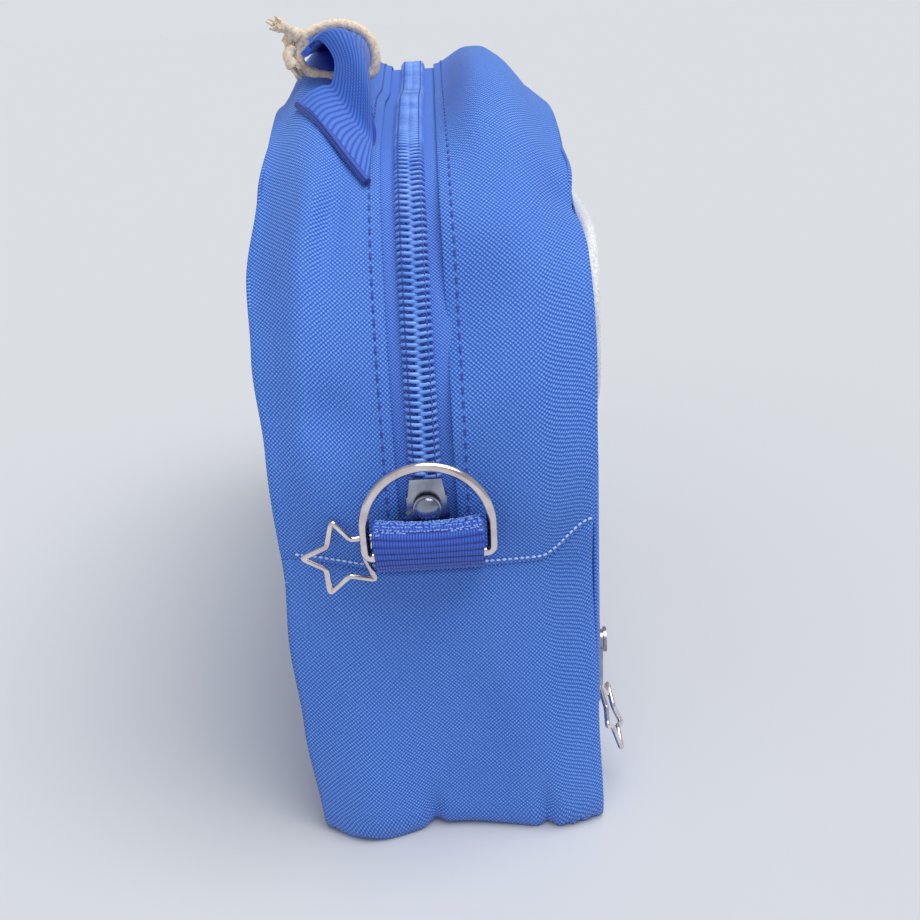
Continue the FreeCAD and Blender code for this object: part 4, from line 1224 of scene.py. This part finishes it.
def starPiece(name, node, body, tilt):
    solid = bpy.data.objects[node]
    spots = [solid.matrix_world @ vertex.co for vertex in solid.data.vertices]
    centre = sum(spots, Vector()) / len(spots)
    tip = max(spots, key=lambda spot: (spot - centre).length) - centre
    other = max(spots, key=lambda spot: (spot - centre).cross(tip).length) - centre
    first = tip.normalized()
    second = tip.cross(other).normalized().cross(first)
    count = 2 * starWire["points"]
    corners = []
    for k in range(count):
        angle, size = 2 * math.pi * k / count, starWire["waist" if k % 2 else "tip"]
        corners.append(centre + (first * math.cos(angle) + second * math.sin(angle)) * size * mm)
    top = max(corners, key=lambda spot: spot.z)
    corners = [top + Matrix.Rotation(math.radians(-tilt), 3, "X") @ (spot - top) for spot in corners]
    line = []
    for k, corner in enumerate(corners):
        before, after = corners[k - 1], corners[(k + 1) % count]
        line += [corner.lerp(before, starWire["soft"]), corner, corner.lerp(after, starWire["soft"])]
    line = evenly(nurbsLine(line, True), 0.35 * mm, True)
    piece = ropePiece(name, line, starWire["radius"], wireLay, ringMetal, "pull_metal", True)
    sew(piece, body, node)


starPiece("zipStarWire", "zip_star", "star_pull", 0)
starPiece("pocketStarWire", "pocket_star", "pocket_pull", 16)

# other metal pieces keep the shape of their solids
for node in ("zip_slider", "zip_link", "near_zip_stop", "far_zip_stop", "pocket_slider", "pocket_link"):
    coat(bpy.data.objects[node], sliderMetal)
for node in ("near_ring", "far_ring"):
    coat(bpy.data.objects[node], ringMetal)
rivet = {"radius": 2.7, "height": 1.1}


def rivetPiece(name, node, body):
    # domed head on the slider's crown
    low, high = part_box(node)
    middle = (low + high) / 2
    place = (low.x, middle.y, middle.z)
    ball = {"segments": 32, "ring_count": 16, "radius": rivet["radius"] * mm, "location": place}
    piece = added(bpy.ops.mesh.primitive_uv_sphere_add, **ball)
    piece.name = piece.data.name = name
    bpy.ops.transform.resize(value=(rivet["height"] / rivet["radius"], 1, 1))
    bpy.ops.object.transform_apply(location=True, rotation=True, scale=True)
    finishPiece(piece, sliderMetal, "slider_metal")
    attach(piece, body)


rivetPiece("zipSliderRivet", "zip_slider", "main_slider")
print("pocket and metal done")

# pale floor, soft light from above and a little from the camera's side: a lamp's place, softness and power
studio = {"floor": "CDCFD2", "size": 80, "sky": 0.4, "skyColour": (0.92, 0.95, 1.0, 1), "far": "DBDEE3",
          "key": ((-0.22, -0.3, 1.0), 50, 2.5), "fill": ((-0.9, 0.4, 0.35), 80, 0.35)}
floor = added(bpy.ops.mesh.primitive_plane_add, size=studio["size"])
floor.name = "floor"
floorPaint = newMaterial("matteFloor", Base_Color=rgb(studio["floor"]), Roughness=0.9, Specular_IOR_Level=0.0)[0]
coat(floor, floorPaint)
for name in ("key", "fill"):
    place, soft, power = studio[name]
    lamp = added(bpy.ops.object.light_add, type="SUN", location=place)
    lamp.name = name
    lamp.data.angle = math.radians(soft)
    lamp.data.energy = power
    lamp.rotation_euler = (-Vector(place)).to_track_quat("-Z", "Y").to_euler()
world = bpy.data.worlds.new("studio")
bpy.context.scene.world = world
world.use_nodes = True
sky = world.node_tree
background = sky.nodes["Background"]
background.inputs["Color"].default_value = studio["skyColour"]
background.inputs["Strength"].default_value = studio["sky"]
# behind the floor's far edge the camera sees the floor's own shade
backdrop = addNode(sky, "ShaderNodeBackground", {"Color": rgb(studio["far"]), "Strength": 1.0})
seen = addNode(sky, "ShaderNodeLightPath").outputs["Is Camera Ray"]
mixed = addNode(sky, "ShaderNodeMixShader", links={0: seen, 1: background.outputs[0], 2: backdrop.outputs[0]})
sky.links.new(mixed.outputs[0], sky.nodes["World Output"].inputs["Surface"])
bpy.context.scene.view_settings.view_transform = "Standard"
print("studio ready")
